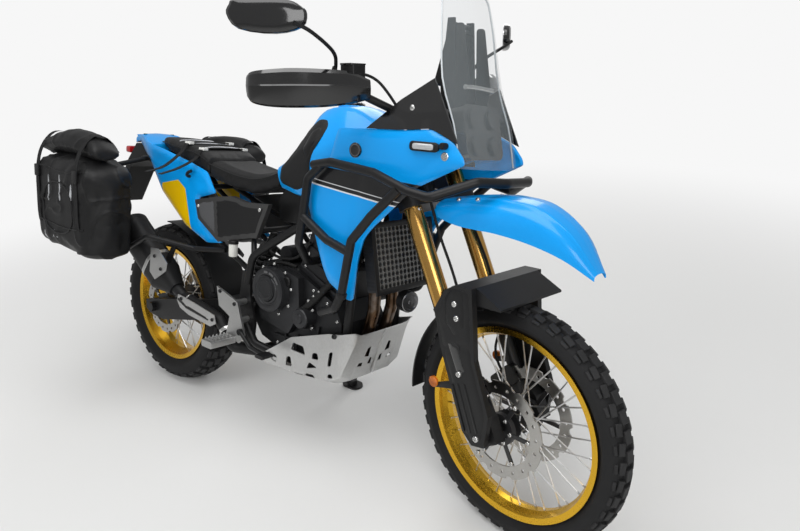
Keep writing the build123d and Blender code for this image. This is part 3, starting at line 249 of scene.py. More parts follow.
def modify(obj, kind, **values):
    """A modifier with its settings."""
    made = obj.modifiers.new(kind.lower(), kind)
    for key, value in values.items():
        setattr(made, key, value)
    return made


def round_edges(obj, width, segments=2, angle=30):
    """Rounds the edges of an object that turn by more than an angle."""
    modify(obj, "BEVEL", width=width, segments=segments, limit_method="ANGLE", angle_limit=math.radians(angle))


def settle(obj):
    """Leaves the finished shape of an object's modifiers as its own plain mesh."""
    graph = bpy.context.evaluated_depsgraph_get()
    shape = bpy.data.meshes.new_from_object(obj.evaluated_get(graph))
    obj.modifiers.clear()
    obj.data = shape


def ready(obj, body, place=None, sharp=38, slot=None, replaces=None):
    """Places a finished shape and says what it rides on and the solid it stands for; its SLOT argument is not used."""
    if place:
        obj.data.transform(place)
    obj.data.shade_smooth()
    if sharp:
        obj.data.set_sharp_from_angle(angle=math.radians(sharp))
    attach(obj, body)
    if replaces:
        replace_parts(obj, replaces)
    return obj


def build(name, verts, faces, material, body="frame", place=PARKED, slot=None, sharp=38, bevel=0.0, thick=0.0,
          replaces=None):
    """A piece from points in upright millimetres, turned to where the machine is parked."""
    obj = shown(name, points_mesh(name, verts, faces))
    obj.data.materials.append(material)
    if thick:
        modify(obj, "SOLIDIFY", thickness=thick, offset=-1)
    if bevel:
        round_edges(obj, bevel)
    if thick or bevel:
        settle(obj)
    return ready(obj, body, place, sharp, slot, replaces)


def at(spot, way=None, base=PARKED):
    """Place of a part that stands at a point, with its Z along a direction if one is given."""
    place = base @ Matrix.Translation(spot)
    return place if way is None else place @ Vector(way).to_track_quat("Z", "Y").to_matrix().to_4x4()


def curved(points, steps=6, closed=False):
    """Points on a smooth line through the given ones, with so many steps between neighbours."""
    count = len(points)
    made = []
    for i in range(count if closed else count - 1):
        if closed:
            a, b, c, d = (Vector(points[(i + k) % count]) for k in (-1, 0, 1, 2))
        else:
            b, c = Vector(points[i]), Vector(points[i + 1])
            a = Vector(points[i - 1]) if i else b * 2 - c
            d = Vector(points[i + 2]) if i + 2 < count else c * 2 - b
        for k in range(steps):
            t = k / steps
            made.append(0.5 * (2 * b + (c - a) * t + (2 * a - 5 * b + 4 * c - d) * t ** 2
                               + (3 * b - a - 3 * c + d) * t ** 3))
    if not closed:
        made.append(Vector(points[-1]))
    return made


def skin(rings, closed=True, caps=True):
    """Faces over a row of equal rings of points."""
    size = len(rings[0])
    verts = [v for ring in rings for v in ring]
    faces = []
    for i in range(len(rings) - 1):
        for j in range(size if closed else size - 1):
            k = (j + 1) % size
            faces.append((i * size + j, i * size + k, (i + 1) * size + k, (i + 1) * size + j))
    if caps and closed:
        faces.append(tuple(reversed(range(size))))
        faces.append(tuple((len(rings) - 1) * size + j for j in range(size)))
    return verts, faces


def turned(profile, steps, centre=(0, 0, 0)):
    """A closed profile of radius and Y turned about an axle along Y."""
    x, z = centre[0], centre[2]
    turns = [2 * math.pi * i / steps for i in range(steps)]
    rings = [[(x + r * math.cos(a), centre[1] + y, z + r * math.sin(a)) for r, y in profile] for a in turns]
    return skin(rings + rings[:1], caps=False)


def tyre_section(radius, half, bead, bead_half, sag, crown_half, groove):
    """Section of a casing: crown, walls, beads and bore."""
    crown_r = (crown_half ** 2 + sag ** 2) / (2 * sag)
    crown = []
    for i in range(5):
        y = crown_half * i / 4
        crown.append((radius - groove - crown_r + math.sqrt(crown_r ** 2 - y ** 2), y))
    shoulder = radius - sag - groove
    wall = [crown[-1], (shoulder - 16, half - 2), (bead + 0.5 * (shoulder - bead), half - 0.5),
            (bead + 16, bead_half + 8), (bead + 5, bead_half + 4)]
    right = crown[:-1] + [tuple(p) for p in curved(wall, 4)]
    return right + [(bead + 1, bead_half)] + [(bead + 1, -bead_half)] + [(r, -y) for r, y in reversed(right[1:])]


def socket_tree(name, *sockets):
    """An empty geometry tree with its named sizes as inputs, and how nodes are added to it."""
    tree = bpy.data.node_groups.new(name, "GeometryNodeTree")
    tree.is_modifier = True
    tree.interface.new_socket("Geometry", in_out="INPUT", socket_type="NodeSocketGeometry")
    for label, kind in sockets:
        tree.interface.new_socket(label, in_out="INPUT", socket_type="NodeSocket" + kind)
    tree.interface.new_socket("Geometry", in_out="OUTPUT", socket_type="NodeSocketGeometry")
    return tree, partial(flow, tree), node(tree, "NodeGroupInput").outputs


def put_out(tree, points, part, facing, material, **sizes):
    """Ends a geometry tree: copies of a part at its points, as one mesh of one material."""
    links = [("Points", points), ("Instance", part), ("Rotation", facing)] + list(sizes.items())
    placed = flow(tree, "GeometryNodeInstanceOnPoints", links)
    real = flow(tree, "GeometryNodeRealizeInstances", [("Geometry", placed)])
    coated = flow(tree, "GeometryNodeSetMaterial", [("Geometry", real), ("Material", material)])
    node(tree, "NodeGroupOutput", [("Geometry", coated)])


def grow(name, mesh, tree, values, bevel=0.0):
    """Runs a geometry tree on a mesh and leaves the result as a plain object in upright millimetres."""
    obj = shown(name, mesh)
    growth = modify(obj, "NODES", node_group=tree)
    for item in tree.interface.items_tree:
        if item.in_out == "INPUT" and item.name in values:
            growth[item.identifier] = values[item.name]
    if bevel:
        round_edges(obj, bevel, segments=1)
    settle(obj)
    return obj


def joined(name, parts, place, body, slot=None):
    """Several grown objects as one piece at its parked place."""
    shape = bmesh.new()
    materials = []
    for part in parts:
        for holder in part.data.materials:
            if holder not in materials:
                materials.append(holder)
        start = len(shape.faces)
        shape.from_mesh(part.data)
        shape.faces.ensure_lookup_table()
        for face in shape.faces[start:]:
            face.material_index = materials.index(part.data.materials[face.material_index])
        bpy.data.objects.remove(part)
    mesh = bpy.data.meshes.new(name)
    shape.to_mesh(mesh)
    shape.free()
    for holder in materials:
        mesh.materials.append(holder)
    return ready(shown(name, mesh), body, place, slot=slot)


block_ring, add, entry = socket_tree(
    "block_ring", ("Blocks", "Int"), ("Reach", "Float"), ("Side", "Float"), ("Phase", "Float"), ("Length", "Float"),
    ("Width", "Float"), ("Height", "Float"), ("Lean", "Float"), ("Skew", "Float"), ("Rubber", "Material"))
share = add("ShaderNodeMath", [(0, add("GeometryNodeInputIndex")), (1, entry["Blocks"])], operation="DIVIDE")
angle = add("ShaderNodeMath", [(0, share), (1, 2 * math.pi), (2, entry["Phase"])], operation="MULTIPLY_ADD")
cosine = add("ShaderNodeMath", [(0, angle)], operation="COSINE")
sine = add("ShaderNodeMath", [(0, angle)], operation="SINE")
radial = add("ShaderNodeCombineXYZ", [("X", cosine), ("Z", sine)])
reach = add("ShaderNodeVectorMath", [(0, radial), ("Scale", entry["Reach"])], operation="SCALE")
sideways = add("ShaderNodeCombineXYZ", [("Y", entry["Side"])])
spot = add("ShaderNodeVectorMath", [(0, reach), (1, sideways)])
line = add("GeometryNodeMeshLine", [("Count", entry["Blocks"]), ("Offset", (0, 0, 0))])
spread = add("GeometryNodeSetPosition", [("Geometry", line), ("Position", spot)])
slant = add("ShaderNodeMath", [(0, entry["Lean"])], operation="TANGENT")
outward = add("ShaderNodeVectorMath", [(0, radial), (1, add("ShaderNodeCombineXYZ", [("Y", slant)]))])
facing = add("FunctionNodeAxesToRotation", [("Primary Axis", outward), ("Secondary Axis", (0, 1, 0))],
             primary_axis="Z", secondary_axis="Y")
twist = add("FunctionNodeAxisAngleToRotation", [("Axis", (0, 0, 1)), ("Angle", entry["Skew"])])
facing = add("FunctionNodeRotateRotation", [("Rotation", facing), ("Rotate By", twist)], rotation_space="LOCAL")
extent = add("ShaderNodeCombineXYZ", [("X", entry["Length"]), ("Y", entry["Width"]), ("Z", entry["Height"])])
put_out(block_ring, spread, add("GeometryNodeMeshCube", [("Size", extent)]), facing, entry["Rubber"])

tyre_rubber = finish("tyre_rubber", (0.0108, 0.0108, 0.0113), 0.72, vary=0.3, grain=260, bump=0.35, cloud=9)
block_rubber = finish("block_rubber", (0.0192, 0.0192, 0.0198), 0.66, vary=0.35, grain=340, bump=0.3, cloud=30)
# side, blocks, block length, width, skew in degrees, phase as a share of the pitch, extra reach
FRONT_ROWS = ((0, 44, 34, 27, 0, 0, 0), (25, 44, 32, 17, 8, 0.5, 0), (-25, 44, 32, 17, -8, 0.5, 0),
              (37.5, 44, 24, 9, 0, 0.5, -3), (-37.5, 44, 24, 9, 0, 0.5, -3))
REAR_ROWS = ((16, 34, 44, 25, 14, 0, 0), (-16, 34, 44, 25, 14, 0.5, 0), (43, 34, 40, 21, -6, 0.25, 0),
             (-43, 34, 40, 21, 6, 0.25, 0), (63, 34, 34, 13, 0, 0.25, -1), (-63, 34, 34, 13, 0, 0.25, -1))


def tyre(name, node_name, section, rows, place, body):
    """Casing and tread of one tyre, together in place of its plain solid."""
    radius, _, _, _, sag, crown_half, groove = section
    casing = build(f"{name}_casing", *turned(tyre_section(*section), 96), tyre_rubber, body, place, "tyre_rubber", 60)
    crown_r = (crown_half ** 2 + sag ** 2) / (2 * sag)
    deep = groove + 3
    rings = []
    for i, (side, blocks, length, width, skew, phase, extra) in enumerate(rows):
        lean = math.asin(max(-0.97, min(0.97, side / crown_r)))
        top = radius - crown_r * (1 - math.cos(lean))
        rings.append(grow(name + f"_row{i}", bpy.data.meshes.new("seed"), block_ring, {
            "Blocks": blocks, "Reach": top - deep / 2 * math.cos(lean) + extra,
            "Side": side - deep / 2 * math.sin(lean), "Phase": phase * 2 * math.pi / blocks, "Length": float(length),
            "Width": float(width), "Height": float(deep), "Lean": lean, "Skew": math.radians(skew),
            "Rubber": block_rubber}, bevel=1.4))
    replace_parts(casing, node_name)
    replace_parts(joined(f"{name}_tread", rings, place, body, "tyre_rubber"), node_name)


tyre("front_tyre_full", "front_tyre", (347.6, 45, 268, 22, 12, 36, 8), FRONT_ROWS, FRONT_WHEEL, "front_wheel")
tyre("rear_tyre_full", "rear_tyre", (333.6, 75, 229, 46, 16, 62, 9), REAR_ROWS, REAR_WHEEL, "rear_wheel")


# Rims, hubs and spokes: gold anodised rims, bright steel spokes and black hubs and disc carriers.
# Each spoke ends in a bright nipple in the rim's bed, and the discs are bolted to the carriers.
gold_anodised = finish("gold_anodised", (0.72, 0.42, 0.035), 0.27, metal=1.0, vary=0.1, grain=300, bump=0.05)
dress(gold_anodised, "front_rim", "rear_rim")
HUB_BLACK, STEEL, ROTOR = (0.015, 0.015, 0.016), (0.62, 0.62, 0.62), (0.42, 0.41, 0.39)


def two_tone(name, outer, wheel, radius):
    """Material of a turned part that is black paint inside a radius about its axle and bare metal outside it."""
    made = finish(name, outer, 0.3, metal=1.0, vary=0.12, grain=300, bump=0.08)
    tree = made.node_tree
    add = partial(flow, tree)
    back = wheel.inverted()
    local = add("ShaderNodeMapping", [
        ("Vector", add("ShaderNodeTexCoord", socket="Object")), ("Location", back.translation),
        ("Rotation", back.to_euler()), ("Scale", (1000, 1000, 1000))])
    flat = add("ShaderNodeVectorMath", [(0, local), (1, (1, 0, 1))], operation="MULTIPLY")
    away = add("ShaderNodeVectorMath", [(0, flat)], "Value", operation="LENGTH")
    inside = add("ShaderNodeMath", [(0, away), (1, radius)], operation="LESS_THAN")
    colours = [("Factor", inside), ("A", tree.nodes["tint"].outputs[0]), ("B", (*HUB_BLACK, 1))]
    plug(tree, tree.nodes["Principled BSDF"], [
        ("Base Color", add("ShaderNodeMix", colours, "Result", data_type="RGBA")),
        ("Metallic", add("ShaderNodeMapRange", [("Value", inside), ("To Min", 1.0), ("To Max", 0.0)])),
        ("Roughness", add("ShaderNodeMapRange", [("Value", inside), ("To Min", 0.3), ("To Max", 0.45)]))])
    return made


dress(two_tone("front_lacing", STEEL, FRONT_WHEEL, 44.5), "front_spokes")
dress(two_tone("rear_lacing", STEEL, REAR_WHEEL, 65.5), "rear_spokes")
dress(two_tone("front_rotor", ROTOR, FRONT_WHEEL, 101), "front_discs")
dress(two_tone("rear_rotor", ROTOR, REAR_WHEEL, 85), "rear_disc")
dress(finish("sprocket_steel", (0.25, 0.25, 0.25), 0.4, metal=1.0, vary=0.2, grain=200), "rear_sprocket")
bright_steel = finish("bright_steel", (0.62, 0.62, 0.61), 0.25, metal=1.0, vary=0.1, grain=500, bump=0.05)
dark_bolt = finish("dark_bolt", (0.0360, 0.0360, 0.0372), 0.35, metal=0.8, vary=0.2, grain=500, bump=0.05)

scatter, add, entry = socket_tree("scatter", ("Part", "Object"), ("Size", "Float"), ("Metal", "Material"))
aim, along = (add("GeometryNodeInputNamedAttribute", [("Name", label)], data_type="FLOAT_VECTOR")
              for label in ("aim", "along"))
facing = add("FunctionNodeAxesToRotation", [("Primary Axis", aim), ("Secondary Axis", along)],
             primary_axis="Z", secondary_axis="X")
part = add("GeometryNodeObjectInfo", [("Object", entry["Part"])], "Geometry")
put_out(scatter, entry["Geometry"], part, facing, entry["Metal"], Scale=entry["Size"])


def loose(name, verts, faces):
    """A shape that is only copied or cut with, and never shown itself."""
    return bpy.data.objects.new(name, points_mesh(name, verts, faces, 0.001))


def on_circle(radius, count, start=0.0):
    """Places on a circle, each as its cosine and sine times the radius."""
    turns = [math.radians(start) + 2 * math.pi * i / count for i in range(count)]
    return [(radius * math.cos(a), radius * math.sin(a)) for a in turns]


def lathe(profile, sides=16):
    """A profile of radius and height turned about Z, open at neither end."""
    return skin([[(u, v, z) for u, v in on_circle(r, sides)] for r, z in profile])


def strew(name, spots, part, size, metal):
    """Copies of one part at points, each turned so that its Z follows a direction."""
    seeds = bpy.data.meshes.new("seeds")
    seeds.from_pydata([tuple(spot) for spot, _ in spots], [], [])
    for label in ("aim", "along"):
        held = seeds.attributes.new(label, "FLOAT_VECTOR", "POINT")
        for i, (_, way) in enumerate(spots):
            held.data[i].vector = Vector(way) if label == "aim" else Vector((0.3, 0.2, 0.9))
    return grow(name, seeds, scatter, {"Part": part, "Size": float(size), "Metal": metal})


# a button head with a hexagon socket, 1 mm in radius
button_head = loose("button_head", *lathe(((1.0, -0.6), (1.0, 0.25), (0.86, 0.5), (0.58, 0.62), (0.5, 0.6),
                                           (0.46, 0.2)), 12))
nipple = loose("nipple", *lathe(((0.8, -1.0), (0.95, 0.5), (0.8, 1.8), (0.5, 2.6)), 8))


def bolts(name, spots, size, metal=bright_steel, body="frame", place=PARKED, slot=None, part=button_head):
    """One piece of equal screw heads, each at a point and facing a direction."""
    return joined(name, [strew("heads", spots, part, size, metal)], place, body, slot)


for wheel, place, bed, lean, size in (("front", FRONT_WHEEL, 251, 7, 3.6), ("rear", REAR_WHEEL, 206, 8, 3.8)):
    spots = []
    for i, (x, z) in enumerate(on_circle(bed, 36)):
        flank = lean if i % 2 else -lean
        spots.append(((x, flank, z), Vector((-x / bed, 3.2 * flank / bed, -z / bed)).normalized()))
    bolts(wheel + "_nipples", spots, size, bright_steel, wheel + "_wheel", place, "bright_steel", nipple)
spots = [((x, side * 70.8, z), (0, side, 0)) for side, _ in SIDES for radius in (38, 96)
         for x, z in on_circle(radius, 6)]
bolts("front_rotor_bolts", spots, 6.4, body="front_wheel", place=FRONT_WHEEL)
spots = [((x, -89.2, z), (0, -1, 0)) for x, z in on_circle(58, 5)]
spots += [((x, 96.6, z), (0, 1, 0)) for x, z in on_circle(62, 6, 30)]
bolts("rear_rotor_bolts", spots, 7, body="rear_wheel", place=REAR_WHEEL)


# Engine: two upright cylinders on a cast crankcase, all in dark grey paint over fine sand-cast
# grain. The clutch cover is a stepped disc with machined slots, held by a ring of small bolts.
engine_grey = finish("engine_grey", (0.0210, 0.0216, 0.0234), 0.42, metal=0.55, vary=0.22, grain=520, bump=0.5, cloud=7)
cover_grey = finish("cover_grey", (0.0330, 0.0336, 0.0360), 0.36, metal=0.6, vary=0.15, grain=600, bump=0.35, cloud=6)
dress(engine_grey, "crankcase", "cylinder_block")
dress(cover_grey, "engine_covers")
CLUTCH, PUMP, GENERATOR = (722, 560), (865, 490), (835, 508)
CASE_FACE, CYLINDER_FACE = 105.4, 88.4
for name, (x, z), y, outwards, material, profile in (
        ("clutch_cover_step", CLUTCH, -157, -1, cover_grey, (
            (40, -5), (74, -5), (76, -2), (75, 2), (70, 4.5), (58, 5.5), (54, 4), (52, 1.5), (48, 1.5), (46, 4),
            (40, 5))),
        ("clutch_cap", (716, 566), -161, -1, engine_grey, (
            (0.2, -3), (41, -3), (42, 0), (40.5, 4), (36, 6), (31, 6), (29, 4.2), (0.2, 3.6))),
        ("water_pump_cap", PUMP, -138, -1, cover_grey, (
            (0.2, -3), (33, -3), (34, 2), (31, 5.5), (17, 7), (15, 11), (0.2, 12))),
        ("generator_cap", GENERATOR, 148, 1, cover_grey, (
            (0.2, -3), (58, -3), (60, 1), (57, 4), (38, 5.5), (36, 3.5), (0.2, 3))),
        ("oil_filler", (790, 600), -129, -1, powder_black, ((0.2, -2), (17, -2), (17, 6), (14, 9), (0.2, 9)))):
    build(name, *turned([(r, outwards * h) for r, h in profile], 64, (x, y, z)), material, sharp=32)


def facing_out(y, places):
    """Bolt places on an upright plane beside the machine, each facing away from its middle."""
    return [((x, y, z), (0, math.copysign(1, y), 0)) for x, z in places]


def around(centre, radius, count, start):
    """Places on a circle about a centre in the side view."""
    return [(centre[0] + x, centre[1] + z) for x, z in on_circle(radius, count, start)]


case_bolts = (
    facing_out(-129.4, around(CLUTCH, 87, 9, 10)) + facing_out(-113, around(PUMP, 44, 4, 45))
    + facing_out(112, around(GENERATOR, 82, 8, 5))
    + facing_out(-CASE_FACE, ((725, 365), (800, 362), (880, 366), (960, 372), (1000, 430), (1002, 505), (955, 556),
                              (890, 586), (640, 520), (655, 452)))
    + facing_out(CASE_FACE, ((730, 620), (800, 622), (960, 545), (1006, 480), (980, 372), (860, 366)))
    + facing_out(-CYLINDER_FACE, ((830, 655), (975, 588), (1040, 742), (905, 832))))
bolts("case_bolts", case_bolts, 6.2, slot="bright_steel")


def prism(outline, low, high, across="y"):
    """A flat outline carried from one plane to another across the machine, along it or upwards."""
    if across == "y":
        rings = [[(u, w, v) for u, v in outline] for w in (low, high)]
    elif across == "x":
        rings = [[(w, u, v) for u, v in outline] for w in (low, high)]
    else:
        rings = [[(u, v, w) for u, v in outline] for w in (low, high)]
    return skin(rings)


def arc_slot(x, z, radius, width, start, end, steps=10):
    """Outline of a slot that follows a circle."""
    turns = [math.radians(start + (end - start) * i / steps) for i in range(steps + 1)]
    outer, inner = ([(x + r * math.cos(a), z + r * math.sin(a)) for a in turns]
                    for r in (radius + width / 2, radius - width / 2))
    return outer + inner[::-1]


machined = finish("machined_face", (0.20, 0.20, 0.205), 0.3, metal=0.9, vary=0.12, grain=700, bump=0.15,
                  stretch=(1, 1, 6))
for i, (start, end) in enumerate(((28, 52), (58, 78), (84, 100))):
    build(f"cover_slot_{i}", *prism(arc_slot(*CLUTCH, 64, 7, start, end), -162.6, -164.6), machined, bevel=0.6)
# case webs and the rocker cover's edge, cast with the case
ROCKER_EDGE = ((866, 812), (1052, 738), (1060, 752), (1050, 776), (905, 836), (872, 828))
for i, (outline, low, high) in enumerate((
        (((712, 392), (985, 398), (985, 404), (712, 398)), -106, -112),
        (((760, 350), (768, 350), (776, 420), (768, 420)), -106, -113),
        (((820, 350), (828, 350), (834, 420), (826, 420)), -106, -113),
        (((905, 352), (913, 352), (930, 470), (921, 470)), -106, -113),
        (((962, 352), (970, 352), (1010, 470), (1001, 470)), -106, -112),
        (ROCKER_EDGE, -88, -96), (ROCKER_EDGE, 88, 96),
        (((810, 650), (980, 580), (984, 590), (814, 660)), -88, -93),
        (((822, 688), (1000, 614), (1004, 624), (826, 698)), -88, -93),
        (((836, 726), (1018, 652), (1022, 662), (840, 736)), -88, -93))):
    build(f"case_web_{i}", *prism(outline, low, high), engine_grey, bevel=1.2)


def tube(points, radius, sides=14, steps=6):
    """A round bar along a smooth line, with its radius constant or given at each point."""
    line = curved(points, steps)
    radii = [radius] * len(line) if isinstance(radius, (int, float)) else [
        r.x for r in curved([(r, 0, 0) for r in radius], steps)]
    side_axis = (line[1] - line[0]).normalized().orthogonal().normalized()
    rings = []
    for i, spot in enumerate(line):
        run = (line[min(i + 1, len(line) - 1)] - line[max(i - 1, 0)]).normalized()
        side_axis = (side_axis - run * side_axis.dot(run)).normalized()
        other = run.cross(side_axis)
        rings.append([spot + side_axis * u + other * v for u, v in on_circle(radii[i], sides)])
    return skin(rings)


def bars(*rows):
    """Short round parts: each a name, its two ends, radius, sides, material and bevel."""
    for name, start, end, radius, sides, material, bevel in rows:
        build(name, *tube([start, end], radius, sides, 1), material, bevel=bevel)


bars(("starter_motor", (700, -60, 668), (700, 60, 668), 30, 24, engine_grey, 2),
     ("oil_filter", (1016, 30, 440), (1062, 30, 450), 33, 28, powder_black, 3))


# Exhaust: two heat-tinted steel header pipes with clamps at the ports and at the collector, and a
# black coated silencer with a perforated silver guard and a bright plate bolted over its end.
tinted = finish("heat_tinted_steel", (0.26, 0.20, 0.155), 0.3, metal=1.0, vary=0.45, grain=45, bump=0.06, cloud=16)
ramp = tinted.node_tree.nodes["tint"].color_ramp
ramp.elements[0].color = (0.05, 0.028, 0.018, 1)
ramp.elements[1].color = (0.22, 0.185, 0.16, 1)
ramp.elements.new(0.5).color = (0.10, 0.06, 0.035, 1)
dress(tinted, "exhaust_headers")
silencer_black = finish("silencer_black", (0.0090, 0.0090, 0.0095), 0.5, vary=0.15, grain=500, bump=0.25)
dress(silencer_black, "muffler")
guard_silver = finish("guard_silver", (0.52, 0.52, 0.515), 0.36, metal=1.0, vary=0.12, grain=160, bump=0.08,
                      stretch=(6, 1, 1))
dress(guard_silver, "heat_shields")
for side, tag in SIDES:
    bars((f"port_collar_{tag}", (1064, side * 42, 722.5), (1076, side * 42, 717.3), 27, 24, bright_steel, 2),
         (f"header_clamp_{tag}", (1005.5, side * 29.9, 332), (989, side * 29.6, 329), 24, 24, bright_steel, 1.5))
MUFFLER_RUN = Vector((-0.82, 0, 0.57)).normalized()
MUFFLER_UP = Vector((0.57, 0, 0.82)).normalized()
MUFFLER_START = Vector((160, -186, 502))
outlet = MUFFLER_START + MUFFLER_RUN * 290
bars(("mid_clamp", (523, -167, 366), (514, -167, 376), 26, 24, bright_steel, 1.5),
     ("pipe_band", (300, -168, 430), (292, -168, 431.5), 25, 24, bright_steel, 1),
     ("silencer_outlet", outlet, outlet + MUFFLER_RUN * 16, 21, 24, bright_steel, 1.5),
     ("outlet_bore", outlet + MUFFLER_RUN * 15.5, outlet + MUFFLER_RUN * 17, 17.5, 24, silencer_black, 0))


def muffler_ring(far, half, tall, rounding):
    """Section of the silencer at a distance from its front joint."""
    ring = []
    for corner, (sy, sz) in enumerate(((1, 1), (-1, 1), (-1, -1), (1, -1))):
        for k in range(7):
            a = math.radians(90 * corner + 15 * k)
            y = sy * (half - rounding) + rounding * math.cos(a)
            z = sz * (tall - rounding) + rounding * math.sin(a)
            ring.append(MUFFLER_START + MUFFLER_RUN * far + Vector((0, y, 0)) + MUFFLER_UP * z)
    return ring


for name, material, rows in (
        ("silencer_cap", silencer_black, ((262, 50.6, 68.6, 44), (278, 50.6, 68.6, 44), (288, 46, 63, 40),
                                          (294, 34, 50, 32))),
        ("silencer_band", guard_silver, ((60, 50.5, 68.5, 44), (61, 51.6, 69.6, 45), (75, 51.6, 69.6, 45),
                                         (76, 50.5, 68.5, 44)))):
    build(name, *skin([muffler_ring(*row) for row in rows]), material)
bolts("guard_bolts", facing_out(-197.2, ((282, 438), (474, 402))) + facing_out(-238.6, ((172, 588), (212, 545))), 7,
      dark_bolt)


# Cooling and protection: radiator core behind a pierced steel guard in a black frame, a horn, a
# folded raw aluminium bash plate with pierced sides, and black steel crash bars with welded lugs.
core = finish("radiator_core", (0.0300, 0.0300, 0.0312), 0.5, metal=0.6, vary=0.2, grain=200, bump=0.2)
fins = flow(core.node_tree, "ShaderNodeTexWave", [
    ("Scale", 130), ("Vector", flow(core.node_tree, "ShaderNodeTexCoord", socket="Object"))], "Fac",
    bands_direction="Y")
plug(core.node_tree, core.node_tree.nodes["relief"], [("Height", fins), ("Strength", 0.9)])
dress(core, "radiator")
dress(finish("guard_mesh_grey", (0.20, 0.20, 0.195), 0.5, metal=0.7, vary=0.15, grain=400, bump=0.2),
      "radiator_guard")
satin_black = finish("satin_black", (0.0090, 0.0090, 0.0095), 0.38, vary=0.15, grain=500, bump=0.2)
dress(satin_black, "horn", "crash_bars", "side_stand")


def frame_border(width, height, inset, deep):
    """A rectangular border, as four mitred sides."""
    verts, faces = [], []
    for w in (0, deep):
        for drawn_in in (0, -inset):
            for y, z in ((-1, -1), (1, -1), (1, 1), (-1, 1)):
                verts.append((w, y * (width / 2 + drawn_in), z * (height / 2 + drawn_in)))
    for i in range(4):
        j = (i + 1) % 4
        faces += [(i, j, 4 + j, 4 + i), (8 + i, 12 + i, 12 + j, 8 + j), (i, 8 + i, 8 + j, j),
                  (4 + i, 4 + j, 12 + j, 12 + i)]
    return verts, faces


GUARD_LEAN = math.atan2(0.2, 0.97)
guard_turn = Matrix.Translation((1170.6, 0, 745.1)) @ Matrix.Rotation(-GUARD_LEAN, 4, "Y")
build("guard_border", *frame_border(304, 216, 17, 7), satin_black, place=PARKED @ guard_turn, bevel=1.5)
skid_raw = finish("skid_raw", (0.56, 0.56, 0.555), 0.42, metal=1.0, vary=0.14, grain=110, bump=0.1, cloud=8,
                  stretch=(4, 1, 1))
SIDE_HOLES = (
    ((846, 382), (912, 380), (904, 408), (856, 410)), ((816, 318), (848, 322), (842, 356), (824, 352)),
    ((744, 318), (770, 314), (774, 338), (756, 344)), ((942, 376), (972, 380), (968, 402), (946, 398)),
    ((918, 336), (966, 352), (930, 362)), ((838, 288), (884, 291), (880, 301), (842, 299)),
    ((900, 300), (962, 306), (950, 322), (914, 318)), ((1012, 370), (1026, 373), (1034, 424), (1020, 420)),
    ((1012, 330), (1034, 334), (1030, 348), (1014, 344)))
FRONT_HOLES = (((40, 398), (62, 402), (58, 432), (44, 436)), ((60, 366), (84, 370), (80, 382), (62, 380)),
               ((18, 366), (34, 368), (30, 392), (20, 388)))


def together(shapes):
    """Several shapes as one list of points and one of faces."""
    verts, faces = [], []
    for more_verts, more_faces in shapes:
        faces += [tuple(len(verts) + i for i in face) for face in more_faces]
        verts += more_verts
    return verts, faces


def cut_copy(name, source, cutters, material, slot):
    """A copy of a solid with prisms cut away, which then stands for it."""
    mesh = frame["nodes"][source].data.copy()
    cleaned(mesh, 0.00002, outwards=False)
    mesh.materials.clear()
    mesh.materials.append(material)
    obj = shown(name, mesh)
    knife = loose("knife", *together(cutters))
    knife.data.transform(PARKED)
    scene.collection.objects.link(knife)
    modify(obj, "BOOLEAN", object=knife, solver="EXACT")
    settle(obj)
    bpy.data.objects.remove(knife)
    ready(obj, "frame", sharp=28, slot=slot, replaces=source)


def rounded_outline(outline, radius=14.0, steps=3):
    """An outline with each corner turned in an arc, tighter where its sides are short."""
    made = []
    for i, corner in enumerate(outline):
        here = Vector(corner)
        before = Vector(outline[i - 1]) - here
        after = Vector(outline[(i + 1) % len(outline)]) - here
        cut = min(radius, before.length * 0.45, after.length * 0.45)
        a, b = here + before.normalized() * cut, here + after.normalized() * cut
        for k in range(steps + 1):
            t = k / steps
            made.append((1 - t) ** 2 * a + 2 * t * (1 - t) * here + t ** 2 * b)
    return made


cutters = [prism(rounded_outline(hole, 6, 2), low, high) for hole in SIDE_HOLES
           for low, high in ((-175, -104), (104, 175))]
cutters += [prism([(side * y, z) for y, z in hole], 1040, 1130, "x") for side, _ in SIDES for hole in FRONT_HOLES]
cut_copy("skid_plate_pierced", "skid_plate", cutters, skid_raw, "raw_aluminium")
build("skid_rib", *prism(((1067, 330), (1075, 328), (1119, 484), (1112, 490)), -3, 3), skid_raw, bevel=0.8)
bolts("skid_bolts", [((x, side * y, z), (0, side * 0.96, 0.28)) for side, _ in SIDES for x, y, z in
                     ((1040, 158.6, 478), (735, 157, 335))], 8, dark_bolt)
for side, tag in SIDES:
    bars((f"bar_lug_low_{tag}", (978, side * 112, 545), (978, side * 106, 545), 19, 20, satin_black, 1.5),
         (f"bar_lug_high_{tag}", (902, side * 96, 690), (902, side * 89, 690), 19, 20, satin_black, 1.5),
         (f"bar_sleeve_{tag}", (1112, side * 212, 644), (1108, side * 211, 628), 16.5, 20, satin_black, 1.5))


build("horn_face", *lathe(((0.3, 0), (30, 0), (32, 2), (30, 5), (24, 5.5), (22, 3), (8, 3.5), (6, 6), (0.3, 6.4)), 32),
      machined, place=at((1209, -6.25, 602), (1, -0.25, 0)))
